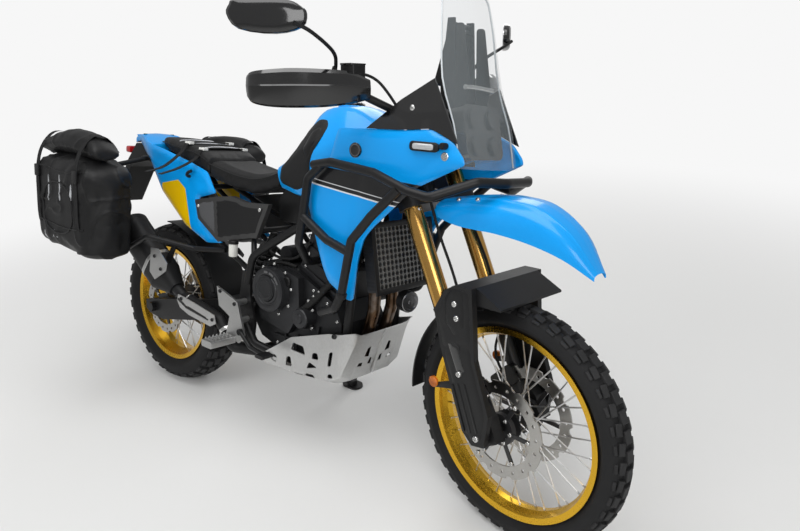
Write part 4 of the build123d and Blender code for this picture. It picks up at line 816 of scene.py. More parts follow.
# the dark space over the engine: airbox under the tank, coolant hoses and the wiring along the tubes
hose_rubber = finish("hose_rubber", (0.009, 0.009, 0.009), 0.5, vary=0.2, grain=500, bump=0.3)
AIRBOX = ((676, 786), (672, 862), (700, 896), (1040, 900), (1046, 868), (900, 866), (858, 836), (826, 786))
build("airbox", *prism(rounded_outline(AIRBOX, 12), -72, 72), powder_black, bevel=6)
for i, (radius, *points) in enumerate((
        (13, (865, -118, 520), (905, -112, 560), (980, -98, 640), (1080, -96, 700), (1142, -96, 700)),
        (13, (1142, 96, 800), (1090, 100, 790), (1064, 96, 760), (1058, 70, 742)),
        (5, (640, -100, 700), (700, -104, 668), (790, -98, 676), (860, -98, 740)),
        (6, (700, -96, 740), (760, -92, 760), (830, -94, 800), (900, -92, 856)),
        (4.5, (880, -96, 690), (930, -104, 712), (980, -98, 690), (1010, -96, 640)),
        (6, (650, -112, 600), (690, -112, 640), (740, -106, 652), (800, -98, 648)),
        (6, (640, 100, 640), (720, 104, 668), (830, 98, 690), (900, 98, 780)))):
    build(f"engine_hose_{i}", *tube(points, radius, 12), hose_rubber)
for i, (x, z) in enumerate(((890, 790), (928, 846))):
    bars((f"coil_pack_{i}", (x, -60, z), (x, -86, z), 17, 16, powder_black, 2))
bolts("hose_clips", [((884 + 20 * k, -122 + 3 * k, 552 + 18 * k), (0, -1, 0)) for k in range(3)]
      + facing_out(-89, [(846, 700 + 30 * k) for k in range(4)] + [(960 + 12 * k, 620 + 34 * k) for k in range(4)]), 6)


# Side panels: smooth painted mouldings, azure under clear lacquer, with a black band edged in
# white and a thin white line. Each panel is a thin shell domed towards its middle.
AZURE, YELLOW, WHITE, BAND_BLACK = (0.0, 0.31, 0.80), (0.80, 0.50, 0.0), (0.72, 0.74, 0.76), (0.012, 0.012, 0.013)
azure, flank_paint, tail_paint = (
    finish(name, AZURE, 0.3, vary=0.05, grain=900, bump=0.03, coat=0.35, cloud=3)
    for name in ("azure_paint", "flank_paint", "tail_paint"))
moulded_black = finish("moulded_black", (0.0086, 0.0086, 0.0090), 0.42, vary=0.12, grain=900, bump=0.22)
gloss_black = finish("gloss_black", (0.0045, 0.0045, 0.0049), 0.13, vary=0.1, grain=600, bump=0.02, coat=0.6)
knee_rubber = finish("knee_rubber", (0.0117, 0.0117, 0.0121), 0.62, vary=0.2, grain=1400, bump=0.6)


def mask(material, edges, under, soft=0.8):
    """Mixes a second colour under a mask on the shell's own U and V map, which are its upright millimetres."""
    tree = material.node_tree
    add = partial(flow, tree)
    place = add("ShaderNodeUVMap", uv_map="upright")
    value = 1.0
    for a, b, c in edges:
        dot = add("ShaderNodeVectorMath", [(0, place), (1, (a * 1000, b * 1000, 0))], "Value",
                  operation="DOT_PRODUCT")
        within = add("ShaderNodeMapRange", [("Value", dot), ("From Min", -c - soft), ("From Max", -c + soft)])
        value = add("ShaderNodeMath", [(0, value), (1, within)], operation="MULTIPLY")
    shader = tree.nodes["Principled BSDF"]
    old = shader.inputs["Base Color"].links[0].from_socket
    mixed = add("ShaderNodeMix", [("Factor", value), ("A", old), ("B", (*under, 1))], "Result", data_type="RGBA")
    plug(tree, shader, [("Base Color", mixed)])


def half_plane(start, end):
    """The half of the side view to the left of a line, as the factors of x and z and the rest."""
    (x0, z0), (x1, z1) = start, end
    size = math.hypot(x1 - x0, z1 - z0)
    a, b = -(z1 - z0) / size, (x1 - x0) / size
    return a, b, -(a * x0 + b * z0)


def strip(start, end, width):
    """Two half planes that leave a stripe of a width about a line."""
    a, b, c = half_plane(start, end)
    return [(a, b, c + width / 2), (-a, -b, -c + width / 2)]


def panel(name, outline, lay, material, body="frame", thick=4.0, dome=6.0, lip=22.0, pitch=16.0, creases=(),
          place=PARKED, replaces=None, slot=None):
    """A domed sheet within an outline: LAY places a point of it, given u, v and how far it stands out."""
    edge = []
    for i, corner in enumerate(outline):
        here, after = Vector(corner), Vector(outline[(i + 1) % len(outline)])
        steps = max(1, round((after - here).length / pitch))
        edge += [here.lerp(after, k / steps) for k in range(steps)]
    count = len(edge)
    sides = list(zip(edge, edge[1:] + edge[:1]))
    low_u, high_u = min(p.x for p in edge), max(p.x for p in edge)
    low_v, high_v = min(p.y for p in edge), max(p.y for p in edge)

    def to_edge(p):
        near = 1e9
        for a, b in sides:
            run = b - a
            t = max(0.0, min(1.0, (p - a).dot(run) / max(run.length_squared, 1e-9)))
            near = min(near, (p - a - run * t).length)
        return near

    def inside(p):
        crossed = [p.x < (b.x - a.x) * (p.y - a.y) / (b.y - a.y) + a.x for a, b in sides
                   if (a.y > p.y) != (b.y > p.y)]
        return sum(crossed) % 2 == 1

    spots = list(edge)
    row, v = 0, low_v + pitch / 2
    while v < high_v:
        u = low_u + (pitch / 2 if row % 2 else pitch)
        while u < high_u:
            p = Vector((u, v))
            if inside(p) and to_edge(p) > pitch * 0.55:
                spots.append(p)
            u += pitch
        v += pitch * 0.87
        row += 1
    rounds = [(i, (i + 1) % count) for i in range(count)]
    found = delaunay_2d_cdt(spots, rounds, [list(range(count))], 1, 0.001)
    verts = []
    for p in found[0]:
        rise = min(to_edge(p) / lip, 1.0)
        out = dome * (1 - (1 - rise) ** 2)
        for (a, b, c), deep, wide in creases:
            out += deep * math.exp(-((a * p.x + b * p.y + c) / wide) ** 2) * rise
        verts.append(tuple(lay(p.x, p.y, out)))
    mesh = bpy.data.meshes.new(name)
    mesh.from_pydata(verts, [], [tuple(f) for f in found[2]])
    uv = mesh.uv_layers.new(name="upright")
    for loop in mesh.loops:
        uv.data[loop.index].uv = found[0][loop.vertex_index] / 1000
    middle, ahead = (Vector(lay((low_u + high_u) / 2, (low_v + high_v) / 2, out)) for out in (0, 10))
    obj = shown(name, cleaned(mesh, front=ahead - middle))
    mesh.materials.append(material)
    modify(obj, "SOLIDIFY", thickness=thick, offset=-1)
    round_edges(obj, min(1.2, thick / 3), angle=55)
    settle(obj)
    return ready(obj, body, place, 26, slot, replaces)


TOE = math.radians(3)
TOE_START = 1250
FLANK_Y = 156


def on_flank(side, inner=0.0):
    """Places points given as x, z and outwards on the toed-in plane of a side panel."""
    def lay(u, v, out):
        far = (u - TOE_START) / math.cos(TOE)
        y = -FLANK_Y + far * math.sin(TOE) - (inner + out) * math.cos(TOE)
        return (TOE_START + far * math.cos(TOE) + (inner + out) * math.sin(TOE), y if side < 0 else -y, v)
    return lay


def upright_side(side, y):
    """Places points given as x, z and outwards on an upright plane beside the machine."""
    return lambda u, v, out: (u, side * (y + out), v)


SHROUD = ((1038, 1115), (1154, 1118), (1253, 1120), (1354, 1129), (1420, 1101), (1455, 1062), (1461, 1044),
          (1320, 972), (1285, 943), (1176, 837), (1152, 805), (1135, 743), (1124, 612), (1089, 618), (1074, 631),
          (1026, 656), (999, 703), (970, 777), (956, 814), (927, 896), (930, 940), (1009, 1021))
band_low, band_high, thin_line = ((927, 950), (1330, 905)), ((1330, 980), (927, 1004)), ((927, 964), (1330, 919))
mask(flank_paint, [half_plane(*band_low), half_plane(*band_high)], BAND_BLACK)
mask(flank_paint, strip(*band_low, 4), WHITE)
mask(flank_paint, strip(*thin_line, 2), WHITE)
for side, tag in SIDES:
    creases = [(half_plane((1110, 612), (1120, 803)), -3.2, 11), (half_plane((1120, 803), (1268, 950)), -3.2, 11),
               (half_plane((930, 1010), (1460, 1006)), -2.5, 12)]
    panel(f"flank_{tag}", rounded_outline(SHROUD, 16), on_flank(side, 15.5), flank_paint, dome=8.0, lip=34, thick=11,
          creases=creases, replaces=f"shroud_{tag}", slot="blue_plastic", pitch=15)
# The tank is a pressed shell, widest at the knees, with a filler cap on its ridge and a dark
# grained pad let into each side where the rider's knee rests.
TANK_SECTIONS = ((690, 76, 900, 96, 950, 60, 985), (740, 92, 896, 110, 962, 72, 1030),
                 (780, 104, 892, 122, 980, 74, 1068), (830, 109, 891, 132, 1012, 79, 1120),
                 (880, 112, 890, 140, 1040, 84, 1160), (980, 112, 890, 144, 1050, 90, 1172),
                 (1050, 96, 918, 134, 1050, 78, 1146), (1084, 84, 936, 126, 1050, 70, 1124))


def mirrored(spots):
    """The other half of a section, in the order that carries on from the first."""
    return [(-y, z) for y, z in reversed(spots)]


def closed_ring(x, bottom, right, top):
    """Smooth closed section at X from one half of it, from a point of the middle to the other."""
    spots = [(0, bottom)] + right + [(0, top)] + mirrored(right)
    return [(x, p.x, p.y) for p in curved([(y, z, 0) for y, z in spots], 3, True)]


def tank_ring(x, low_half, low, mid_half, mid, top_half, top):
    """Closed section of the tank at X, rounded through its corners."""
    right = [(low_half * 0.6, low - 2), (low_half, low), (mid_half, (2 * mid + low) / 3 + 6),
             (mid_half * 0.985, mid + 18), (top_half, top - 6), (top_half * 0.55, top + 7)]
    return closed_ring(x, low - 2, right, top + 12)


def smooth_rows(rows, steps):
    """Rows of sizes eased between the given ones."""
    columns = [[p.x for p in curved([(size, 0, 0) for size in column], steps)] for column in zip(*rows)]
    return list(zip(*columns))


build("tank_shell", *skin([tank_ring(*row) for row in smooth_rows(TANK_SECTIONS, 3)]), azure, slot="blue_plastic",
      sharp=30, replaces="fuel_tank")


def tank_half(x, z):
    """Half width of the tank at a place of its side."""
    rows = TANK_SECTIONS
    i = max(k for k in range(len(rows) - 1) if rows[k][0] <= x or k == 0)
    t = max(0.0, min(1.0, (x - rows[i][0]) / (rows[i + 1][0] - rows[i][0])))
    low_half, low, mid_half, mid, top_half, top = (a + (b - a) * t for a, b in zip(rows[i][1:], rows[i + 1][1:]))
    if z < mid:
        return low_half + (mid_half - low_half) * min(1, max(0, (z - low) / (0.7 * (mid - low))))
    return mid_half + (top_half - mid_half) * max(0, z - mid - 18) / (top - mid - 18)


def on_tank(side, lift):
    """Places points given as x, z and outwards on the side of the tank."""
    return lambda u, v, out: (u, side * (tank_half(u, v) + lift + out), v)


KNEE = ((702, 918), (716, 972), (768, 1032), (842, 1112), (884, 1136), (922, 1134), (936, 1112), (918, 1064),
        (884, 1004), (876, 930), (800, 904))
KNEE_INSET = ((852, 1040), (872, 1096), (900, 1112), (916, 1104), (902, 1064), (874, 1010))
for side, tag in SIDES:
    panel(f"knee_pad_{tag}", rounded_outline(KNEE, 16), on_tank(side, 3.5), knee_rubber, dome=4.5, lip=9, thick=5,
          pitch=13)
    panel(f"knee_inset_{tag}", rounded_outline(KNEE_INSET, 8), on_tank(side, 8.2), moulded_black, dome=2.0, lip=6,
          thick=3, pitch=12)
FILLER = Vector((925, 0, 1181))
build("filler_flange", *lathe(((0.3, -8), (47, -8), (47, 1), (44, 3), (0.3, 3)), 40), azure,
      place=at(FILLER))
build("filler_cap", *lathe(((0.3, 0), (38, 0), (38.5, 6), (35, 10), (12, 11.5), (11, 9), (0.3, 9)), 40), gloss_black,
      place=at(FILLER + Vector((0, 0, 2))))
bolts("cap_bolts", [(FILLER + Vector((x, y, 12.4)), (0, 0, 1)) for x, y in on_circle(31, 3)], 4)

# small fittings of the flanks: a bare round badge, screws, and the front winkers in their bezels
badge_metal = finish("badge_metal", (0.30, 0.30, 0.31), 0.25, metal=1.0, vary=0.1, grain=300, bump=0.05)
amber = finish("amber_lens", (0.75, 0.20, 0.01), 0.1, vary=0.1, grain=200, bump=0.1, coat=0.8)
clear_lens = finish("clear_lens", (0.42, 0.43, 0.44), 0.08, vary=0.2, grain=260, bump=0.35, coat=1.0)
red_lens = finish("red_lens", (0.38, 0.006, 0.008), 0.1, vary=0.15, grain=240, bump=0.25, coat=0.8)
dress(finish("dark_clear", (0.0027, 0.0027, 0.0032), 0.05, vary=0.05, grain=50, bump=0.0, coat=1.0, Alpha=0.93),
      "side_deflectors")
WINKER = rounded_outline(((1300, 1070), (1390, 1070), (1390, 1096), (1300, 1096)), 12, 5)
WINKER_GLASS = [(u * 0.72 + 1345 * 0.28, v * 0.6 + 1083 * 0.4) for u, v in WINKER]
BOSSES = (
    ("badge_", 1110, 1056, 24, 32, gloss_black, (
        (0.3, -4), (21, -4), (21, 0.5), (19.5, 1.6), (18.5, 0.9), (0.3, 0.9))),
    ("badge_ring_", 1110, 1056, 24, 32, badge_metal, (
        (15.2, 0.5), (17.6, 0.5), (17.6, 1.7), (15.2, 1.7), (15.2, 0.5))),
    ("front_screw_", 1404, 1062, 24, 32, bright_steel, (
        (0.3, -6), (11, -6), (11, 0.4), (9.5, 1.6), (7, 1.2), (6, 2.8), (0.3, 3.2))),
    ("low_screw_", 1086, 668, 24, 32, bright_steel, (
        (0.3, -6), (9, -6), (9, 0.4), (7.5, 1.4), (5.5, 1.1), (4.6, 2.6), (0.3, 2.8))),
    ("winker_knob_", 1402, 1088, 24, 20, moulded_black, ((0.3, -6), (9, -6), (9, 14), (7, 18), (0.3, 18))),
    ("deflector_bolt_", 1290, 1180, 19, 24, bright_steel, ((0.3, -2), (7.5, -2), (7.5, 1), (5, 3), (0.3, 3.4))))
for side, tag in SIDES:
    for name, u, v, inner, steps, material, profile in BOSSES:
        lay = on_flank(side, inner)
        foot, tip = Vector(lay(u, v, 0)), Vector(lay(u, v, 10))
        build(name + tag, *lathe(profile, steps), material, place=at(foot, tip - foot))
    panel(f"winker_bezel_{tag}", WINKER, on_flank(side, 36), moulded_black, dome=4, lip=7, thick=20, pitch=10)
    panel(f"winker_glass_{tag}", WINKER_GLASS, on_flank(side, 40.5), clear_lens, dome=2.5, lip=6, thick=3, pitch=8)


# Side covers and tail. The covers are black with a lighter grey rear part and one screw; the tail
# is one azure moulding with a yellow patch, open below, with a hook for the bag straps.
cover_black = finish("cover_black", (0.0090, 0.0090, 0.0095), 0.5, vary=0.12, grain=1100, bump=0.3)
mask(cover_black, [half_plane((418, 600), (396, 900))], (0.075, 0.076, 0.08), 1.5)
SIDE_COVER = ((287, 812), (412, 838), (502, 850), (580, 838), (700, 846), (640, 722), (604, 718), (428, 676),
              (307, 744))
PATCH = ((40, 812), (52, 850), (158, 872), (205, 843), (240, 688), (194, 700))
mask(tail_paint, [half_plane(PATCH[i], PATCH[i - 1]) for i in range(6)], YELLOW)
TAIL = ((-262, 1020), (-170, 1026), (-84, 1000), (58, 980), (240, 943), (330, 920), (383, 846), (282, 818), (300, 738),
        (424, 668), (332, 655), (194, 703), (40, 815), (-49, 935), (-200, 985))
TAIL_START, TAIL_RUN = -20, 242


def tail_half(x):
    """Half width of the tail at X: full at the seat, drawn in to a narrow tip."""
    t = max(0.0, min(1.0, (TAIL_START - x) / TAIL_RUN))
    return 120 - 66 * t * t * (3 - 2 * t)


def on_tail(side):
    """Places points given as x, z and outwards on the side of the tail."""
    return lambda u, v, out: (u, side * (tail_half(u) + out), v)


for side, tag in SIDES:
    panel(f"side_cover_{tag}", rounded_outline(SIDE_COVER, 12), upright_side(side, 135.5), cover_black, dome=7, lip=18,
          thick=6, creases=[(half_plane((407, 838), (420, 676)), -2.6, 5)], pitch=13)
    panel(f"tail_side_{tag}", rounded_outline(TAIL, 12), on_tail(side), tail_paint, dome=7.5, lip=26, thick=6,
          creases=[(half_plane((-49, 965), (383, 860)), -2.5, 14)], pitch=14)
    bolts(f"cover_screws_{tag}", facing_out(side * 142.4, ((655, 822), (310, 792))), 7)
    hook = [(232, side * 124, 892), (232, side * 138, 896), (246, side * 144, 908), (262, side * 140, 916)]
    build(f"strap_hook_{tag}", *tube(hook, 6, 10, 4), satin_black)
    build(f"rack_insert_{tag[0]}", *lathe(((4, -8), (8, -8), (8, 1.5), (4, 1.5), (4, -8)), 20), dark_bolt,
          place=at((-176, side * 62, 1026)))
TAIL_TOP = ((-254, 1012), (-236, 1019), (-200, 1024), (-170, 1025), (-130, 1013), (-84, 998), (-60, 990))
tail_rings = []
for x, z in TAIL_TOP:
    half = tail_half(x) + 5
    right = [(half, z - 12), (half * 0.96, z - 3), (half * 0.7, z + 2)]
    spots = right + [(0, z + 5)] + mirrored(right) + [(-half, z - 26), (half, z - 26)]
    tail_rings.append([(x, y, w) for y, w in spots])
build("tail_top", *skin(tail_rings), azure, slot="blue_plastic", bevel=2, sharp=34, replaces="tail_fairing")


# Seats: a two-level saddle of moulded foam under grained synthetic leather. The covers swell
# between their seams, and light stitched seams cross the rear seat.
leather = finish("seat_leather", (0.0095, 0.0095, 0.0099), 0.55, vary=0.2, grain=1500, bump=0.75, cloud=6)
thread = finish("seam_thread", (0.62, 0.63, 0.66), 0.7, vary=0.2, grain=900, bump=0.5)
PRESSURE, CLOTH_QUALITY, CLOTH_FRAMES = 4.0, 3, 16


def swell(name, verts, faces, material, cap, voxel, slot, fill, replaces=None, creased=0.0):
    """A soft piece: its closed shell is blown up as cloth, held within a distance of where it started."""
    obj = shown(name, points_mesh(name, verts, faces))
    obj.data.materials.append(material)
    obj.data.transform(PARKED)
    modify(obj, "REMESH", mode="VOXEL", voxel_size=voxel / 1000)
    settle(obj)
    before = [v.co.copy() for v in obj.data.vertices]
    cloth = modify(obj, "CLOTH")
    cloth.settings.use_pressure = True
    cloth.settings.uniform_pressure_force = PRESSURE
    cloth.settings.effector_weights.gravity = 0
    cloth.settings.quality = CLOTH_QUALITY
    cloth.point_cache.frame_start = 1
    cloth.point_cache.frame_end = CLOTH_FRAMES
    for frame_number in range(1, CLOTH_FRAMES + 1):
        scene.frame_set(frame_number)
    settle(obj)
    scene.frame_set(1)
    for vertex, was in zip(obj.data.vertices, before):
        step = vertex.co - was
        if step.length > cap / 1000:
            vertex.co = was + step * (cap / 1000 / step.length)
    modify(obj, "SMOOTH", factor=0.5, iterations=3)
    modify(obj, "SUBSURF", levels=1, render_levels=1)
    settle(obj)
    if creased:
        moves = []
        for vertex in obj.data.vertices:
            spot = vertex.co * 9 + Vector((3, 1, 7))
            fold = 1 - abs(noise.noise(spot + Vector((0, 0, noise.noise(spot * 0.7) * 1.6)))) * 2.4
            slack = noise.noise(vertex.co * 5) * 0.9
            moves.append(vertex.normal * (creased / 1000) * (max(fold, 0) ** 3 * 0.9 + slack - 0.3))
        for vertex, move in zip(obj.data.vertices, moves):
            vertex.co += move
    if not obj.data.materials:
        obj.data.materials.append(material)
    ready(obj, "frame", sharp=None, slot=slot, replaces=replaces)
    return obj


def surface_under(obj):
    """A finder that drops upright points onto a piece along a direction, so that trim lies on it."""
    tree = BVHTree.FromObject(obj, bpy.context.evaluated_depsgraph_get())

    def drop(point, way, lift=0.0, reach=70):
        way = Vector(way).normalized()
        start = PARKED @ (Vector(point) - way * reach)
        hit = tree.ray_cast(start, (PARKED.to_3x3() @ way).normalized())
        return (UPRIGHT @ hit[0] - way * lift) if hit[0] else Vector(point)
    return drop


def saddle_ring(x, half, low, top, crown, tuck):
    """Closed section of a seat at X, dished or crowned on top and tucked in under its edge."""
    right = [(half * 0.45, top + crown * 0.75), (half * 0.86, top + crown * 0.1), (half - 2, top - 12),
             (half - 1, (top + low) / 2), (half - tuck, low + 4), (half * 0.5, low + 3)]
    return closed_ring(x, top + crown, right, low + 3)


# x, half width, low and top, crown, and how far the lower edge is tucked in
REAR_SEAT = ((-86, 34, 992, 1015, 2, 4), (-40, 66, 984, 1017, 2, 5), (20, 88, 972, 1016, 2, 6),
             (60, 98, 966, 1013, 2, 6), (150, 110, 946, 1005, 2, 8), (240, 116, 926, 996, 2, 8),
             (290, 116.5, 912, 984, 1, 8), (327, 114, 902, 966, 0, 8))
FRONT_SEAT = ((333, 113, 902, 962, -1, 8), (380, 116, 890, 953, -3, 8), (460, 116, 874, 939, -5, 8),
              (520, 112, 869, 932, -4, 7), (580, 106, 868, 930, -2, 6), (640, 96, 884, 943, 2, 6),
              (686, 88, 906, 962, 4, 5))
covers = {}
for place, rows in (("rear", REAR_SEAT), ("front", FRONT_SEAT)):
    covers[place] = swell(f"seat_cover_{place}", *skin([saddle_ring(*row) for row in smooth_rows(rows, 3)]), leather, 5,
                          voxel=6.0, slot="seat_cover", fill=0.9, replaces=f"seat_{place}")
    for side, tag in SIDES:
        line = [(x, side * (half + 1.5), top - 13) for x, half, _, top, _, _ in rows]
        build(f"piping_{place}_{tag}", *tube(line, 2.0, 8, 4), leather)
on_seat = surface_under(covers["rear"])
SEAM_HALF, SEAM_BOW = 78, 16
for i, x in enumerate((96, 176, 256)):
    # bowed back in its middle and laid on the cover
    seam = [on_seat((x - SEAM_BOW * (1 - (k / 8) ** 2), SEAM_HALF * k / 8, 1020), (0, 0, -1), 0.6)
            for k in range(-8, 9)]
    build(f"seat_seam_{i}", *tube(seam, 2.4, 8, 2), thread, slot="seat_cover")


# Bags: soft panniers of coated black cloth hung from the hoops. Each is sewn from a front, a back
# and a gusset, sags between its straps, and closes with a rolled and folded mouth.
tarpaulin = finish("bag_tarpaulin", (0.0077, 0.0077, 0.0081), 0.48, vary=0.25, grain=380, bump=0.45, cloud=9)
webbing = finish("strap_webbing", (0.0108, 0.0108, 0.0113), 0.8, vary=0.25, grain=1300, bump=0.8)
reflective = finish("reflective_tape", (0.45, 0.46, 0.48), 0.3, vary=0.1, grain=900, bump=0.1, metal=0.3)
white_plastic = finish("white_plastic", (0.74, 0.74, 0.72), 0.4, vary=0.06, grain=400, bump=0.1)
BAG_BACK = ((-368, 648), (-328, 578), (-150, 563), (36, 558), (68, 644), (78, 800), (80, 900), (-20, 940), (-180, 950),
            (-340, 930), (-376, 860), (-374, 760))
BAG_MIDDLE, BAG_INNER, BAG_OUTER = Vector((-150, 750)), 260, 430
# distance from the back, how far the outline is drawn in there, and how far its top sinks
BAG_DEPTHS = ((0, 14, 0), (6, 6, 0), (50, 2, 0), (100, 2, 2), (148, 10, 5), (166, 22, 8), (172, 36, 10))
# x, half depth, half height and middle height of the rolled mouth
ROLL = ((-352, 50, 22, 948), (-330, 62, 31, 962), (-250, 70, 35, 978), (-160, 72, 37, 986), (-60, 70, 36, 982),
        (20, 62, 31, 962), (52, 50, 22, 944))
STRAP = ((0, 428, 640), (0, 440.5, 690), (-4, 441, 780), (-6, 438, 880), (-8, 418, 958), (-8, 372, 1014),
         (-8, 320, 1012), (-6, 276, 960))
DASHES = ((-312, 770, 862), (-222, 760, 858), (-128, 770, 866), (-40, 752, 838), (-260, 596, 640))


def bag_ring(side, out, shrink, sag):
    """Outline of a bag at a distance from its back, drawn in by SHRINK and sunk by SAG at the top."""
    ring = []
    for corner in BAG_BACK:
        p = Vector(corner) - BAG_MIDDLE
        p *= 1 - shrink / max(p.length, 1)
        ring.append((BAG_MIDDLE.x + p.x, side * (BAG_INNER + out), BAG_MIDDLE.y + p.y - (sag if p.y > 60 else 0)))
    return curved(ring, 4, True)


def roll_ring(side, i, x, half, tall, z):
    """Section of the rolled mouth, a little uneven from one to the next."""
    ring = []
    for k in range(14):
        a = 2 * math.pi * k / 14
        wob = 1 + 0.10 * math.sin(3 * a + 0.9 * i)
        ring.append((x, side * (348 + half * math.cos(a) * wob), z + tall * math.sin(a) * wob))
    return ring


def ribbon(line, section):
    """A flat band: a section of offsets carried along a line."""
    return skin([[p + Vector(offset) for offset in section] for p in line])


for side, tag in SIDES:
    body = swell(f"bag_body_{tag}", *skin([bag_ring(side, *row) for row in BAG_DEPTHS]), tarpaulin, 9, voxel=9.0,
                 slot="bag_cloth", fill=0.55, replaces=f"pannier_{tag}", creased=6.0)
    drop = surface_under(body)

    def on_bag(x, z, lift, side=side, drop=drop):
        """The place of the bag's face at x and z, lifted off it a little."""
        return drop((x, side * BAG_OUTER, z), (0, -side, 0), lift)

    roll = [roll_ring(side, i, *row) for i, row in enumerate(ROLL)]
    swell(f"bag_roll_{tag}", *skin(list(zip(*[curved(row, 3) for row in zip(*roll)]))), tarpaulin, 7, voxel=8.0,
          slot="bag_cloth", fill=0.5, creased=5.0)
    for i, x in enumerate((-300, 0)):
        line = curved([(x + back, side * y, z) for back, y, z in STRAP], 4)
        band = ribbon(line, ((-12, 0, 0), (12, 0, 0), (12, side * 2.2, 0.8), (-12, side * 2.2, 0.8)))
        build(f"bag_strap_{tag}_{i}", *band, webbing, slot="bag_cloth")
        buckle = rounded_outline(((x - 20, 846), (x + 12, 846), (x + 12, 892), (x - 20, 892)), 6)
        build(f"bag_buckle_{tag}_{i}", *prism(buckle, side * 439, side * 447), moulded_black, bevel=1.5)
    for i, (x, low, high) in enumerate(DASHES):
        rings = []
        for k in range(9):
            wide = 4.5 * math.sin(math.pi * (0.12 + 0.76 * k / 8))
            near, far = (on_bag(x + w, low + (high - low) * k / 8, 1.6) for w in (-wide, wide))
            out = Vector((0, side * 4, 0))
            rings.append([near, far, far - out, near - out])
        build(f"reflex_dash_{tag}_{i}", *skin(rings), reflective, slot="bag_cloth")
    corners = [on_bag(x, z, 1.6) for x, z in ((-196, 624), (-160, 624), (-178, 652))]
    build(f"reflex_corner_{tag}", *skin([corners, [c - Vector((0, side * 5, 0)) for c in corners]]), reflective,
          slot="bag_cloth")
    for i, z in enumerate((676, 884)):
        line = [on_bag(x, z + 5 * math.sin(x / 60), 0.5) for x in range(-336, 44, 20)]
        build(f"bag_piping_{tag}_{i}", *tube(line, 3.0, 8, 2), tarpaulin, slot="bag_cloth")
    pocket = [on_bag(-150 + 118 * math.cos(a), 742 + 96 * math.sin(a) * (1 + 0.25 * math.cos(a) ** 2), 1.0)
              for a in [math.radians(12 * k) for k in range(30)]]
    build(f"bag_pocket_{tag}", *tube(pocket + pocket[:1], 3.4, 8, 2), tarpaulin, slot="bag_cloth")
# the pair of panniers is tied across the seat by two flat straps with white buckles
for i, (x, top) in enumerate(((196, 1011), (284, 994))):
    half = [(50, top + 5), (100, top + 1), (128, top - 34), (200, 925), (272, 905)]
    strap = [(x - 16, y, z) for y, z in mirrored(half) + [(0, top + 6)] + half]
    band = ribbon(curved(strap, 4), ((-11, 0, 0), (11, 0, 0), (11, 0, 2.4), (-11, 0, 2.4)))
    build(f"cross_strap_{i}", *band, webbing, slot="bag_cloth")
    for side, tag in SIDES:
        y = side * 92
        buckle = rounded_outline(((x - 32, y - 11), (x, y - 11), (x, y + 11), (x - 32, y + 11)), 4)
        build(f"cross_buckle_{i}{tag[0]}", *prism(buckle, top - 2, top + 8, "z"), white_plastic, bevel=1.2)


# Fork and front mudguards: gold anodised tubes, dark castings, black moulded guards with a raised
# screw plate, and a high azure mudguard pressed with a soft ridge.
fork_gold = finish("fork_gold", (0.58, 0.33, 0.09), 0.2, metal=1.0, vary=0.06, grain=300, bump=0.03,
                   stretch=(1, 1, 0.2))
casting_black = finish("casting_black", (0.0099, 0.0099, 0.0103), 0.45, metal=0.3, vary=0.2, grain=500, bump=0.35)
dress(fork_gold, "fork_tubes")
dress(casting_black, "fork_legs", "front_calipers", "triple_clamps", "rear_caliper")
dress(moulded_black, "fork_guards", "plate_holder", "hugger")
steered = partial(build, body="steering", place=STEERED)
steered_panel = partial(panel, body="steering", place=STEERED)
steered_bolts = partial(bolts, body="steering", place=STEERED)
FENDER = ((1345, 74, 946, 900), (1430, 84, 962, 890), (1500, 85, 972, 889), (1570, 84, 977, 890), (1665, 74, 968, 880),
          (1755, 58, 918, 856), (1826, 26, 828, 812))


def fender_ring(x, half, ridge, edge):
    """Open arch of the mudguard at X, with a crease beside its ridge."""
    line = [(half * across, edge + (ridge - edge) * up) for across, up in (
        (1, 0), (0.985, 0.42), (0.86, 0.74), (0.58, 0.9), (0.5, 0.96), (0.2, 0.985), (0, 1))]
    return [(x, p.x, p.y) for p in curved([(y, z, 0) for y, z in line + mirrored(line[:-1])], 3)]


steered("fender_shell", *skin([fender_ring(*row) for row in smooth_rows(FENDER, 5)], closed=False), azure,
        slot="blue_plastic", thick=3.0, sharp=26, replaces="front_fender")


def steer_point(along, ahead_of, side):
    """A point by its distance up the steering axis, ahead of it and to the side."""
    return STEER_FOOT + Vector((ahead_of * math.cos(RAKE) - along * math.sin(RAKE), side,
                                along * math.cos(RAKE) + ahead_of * math.sin(RAKE)))


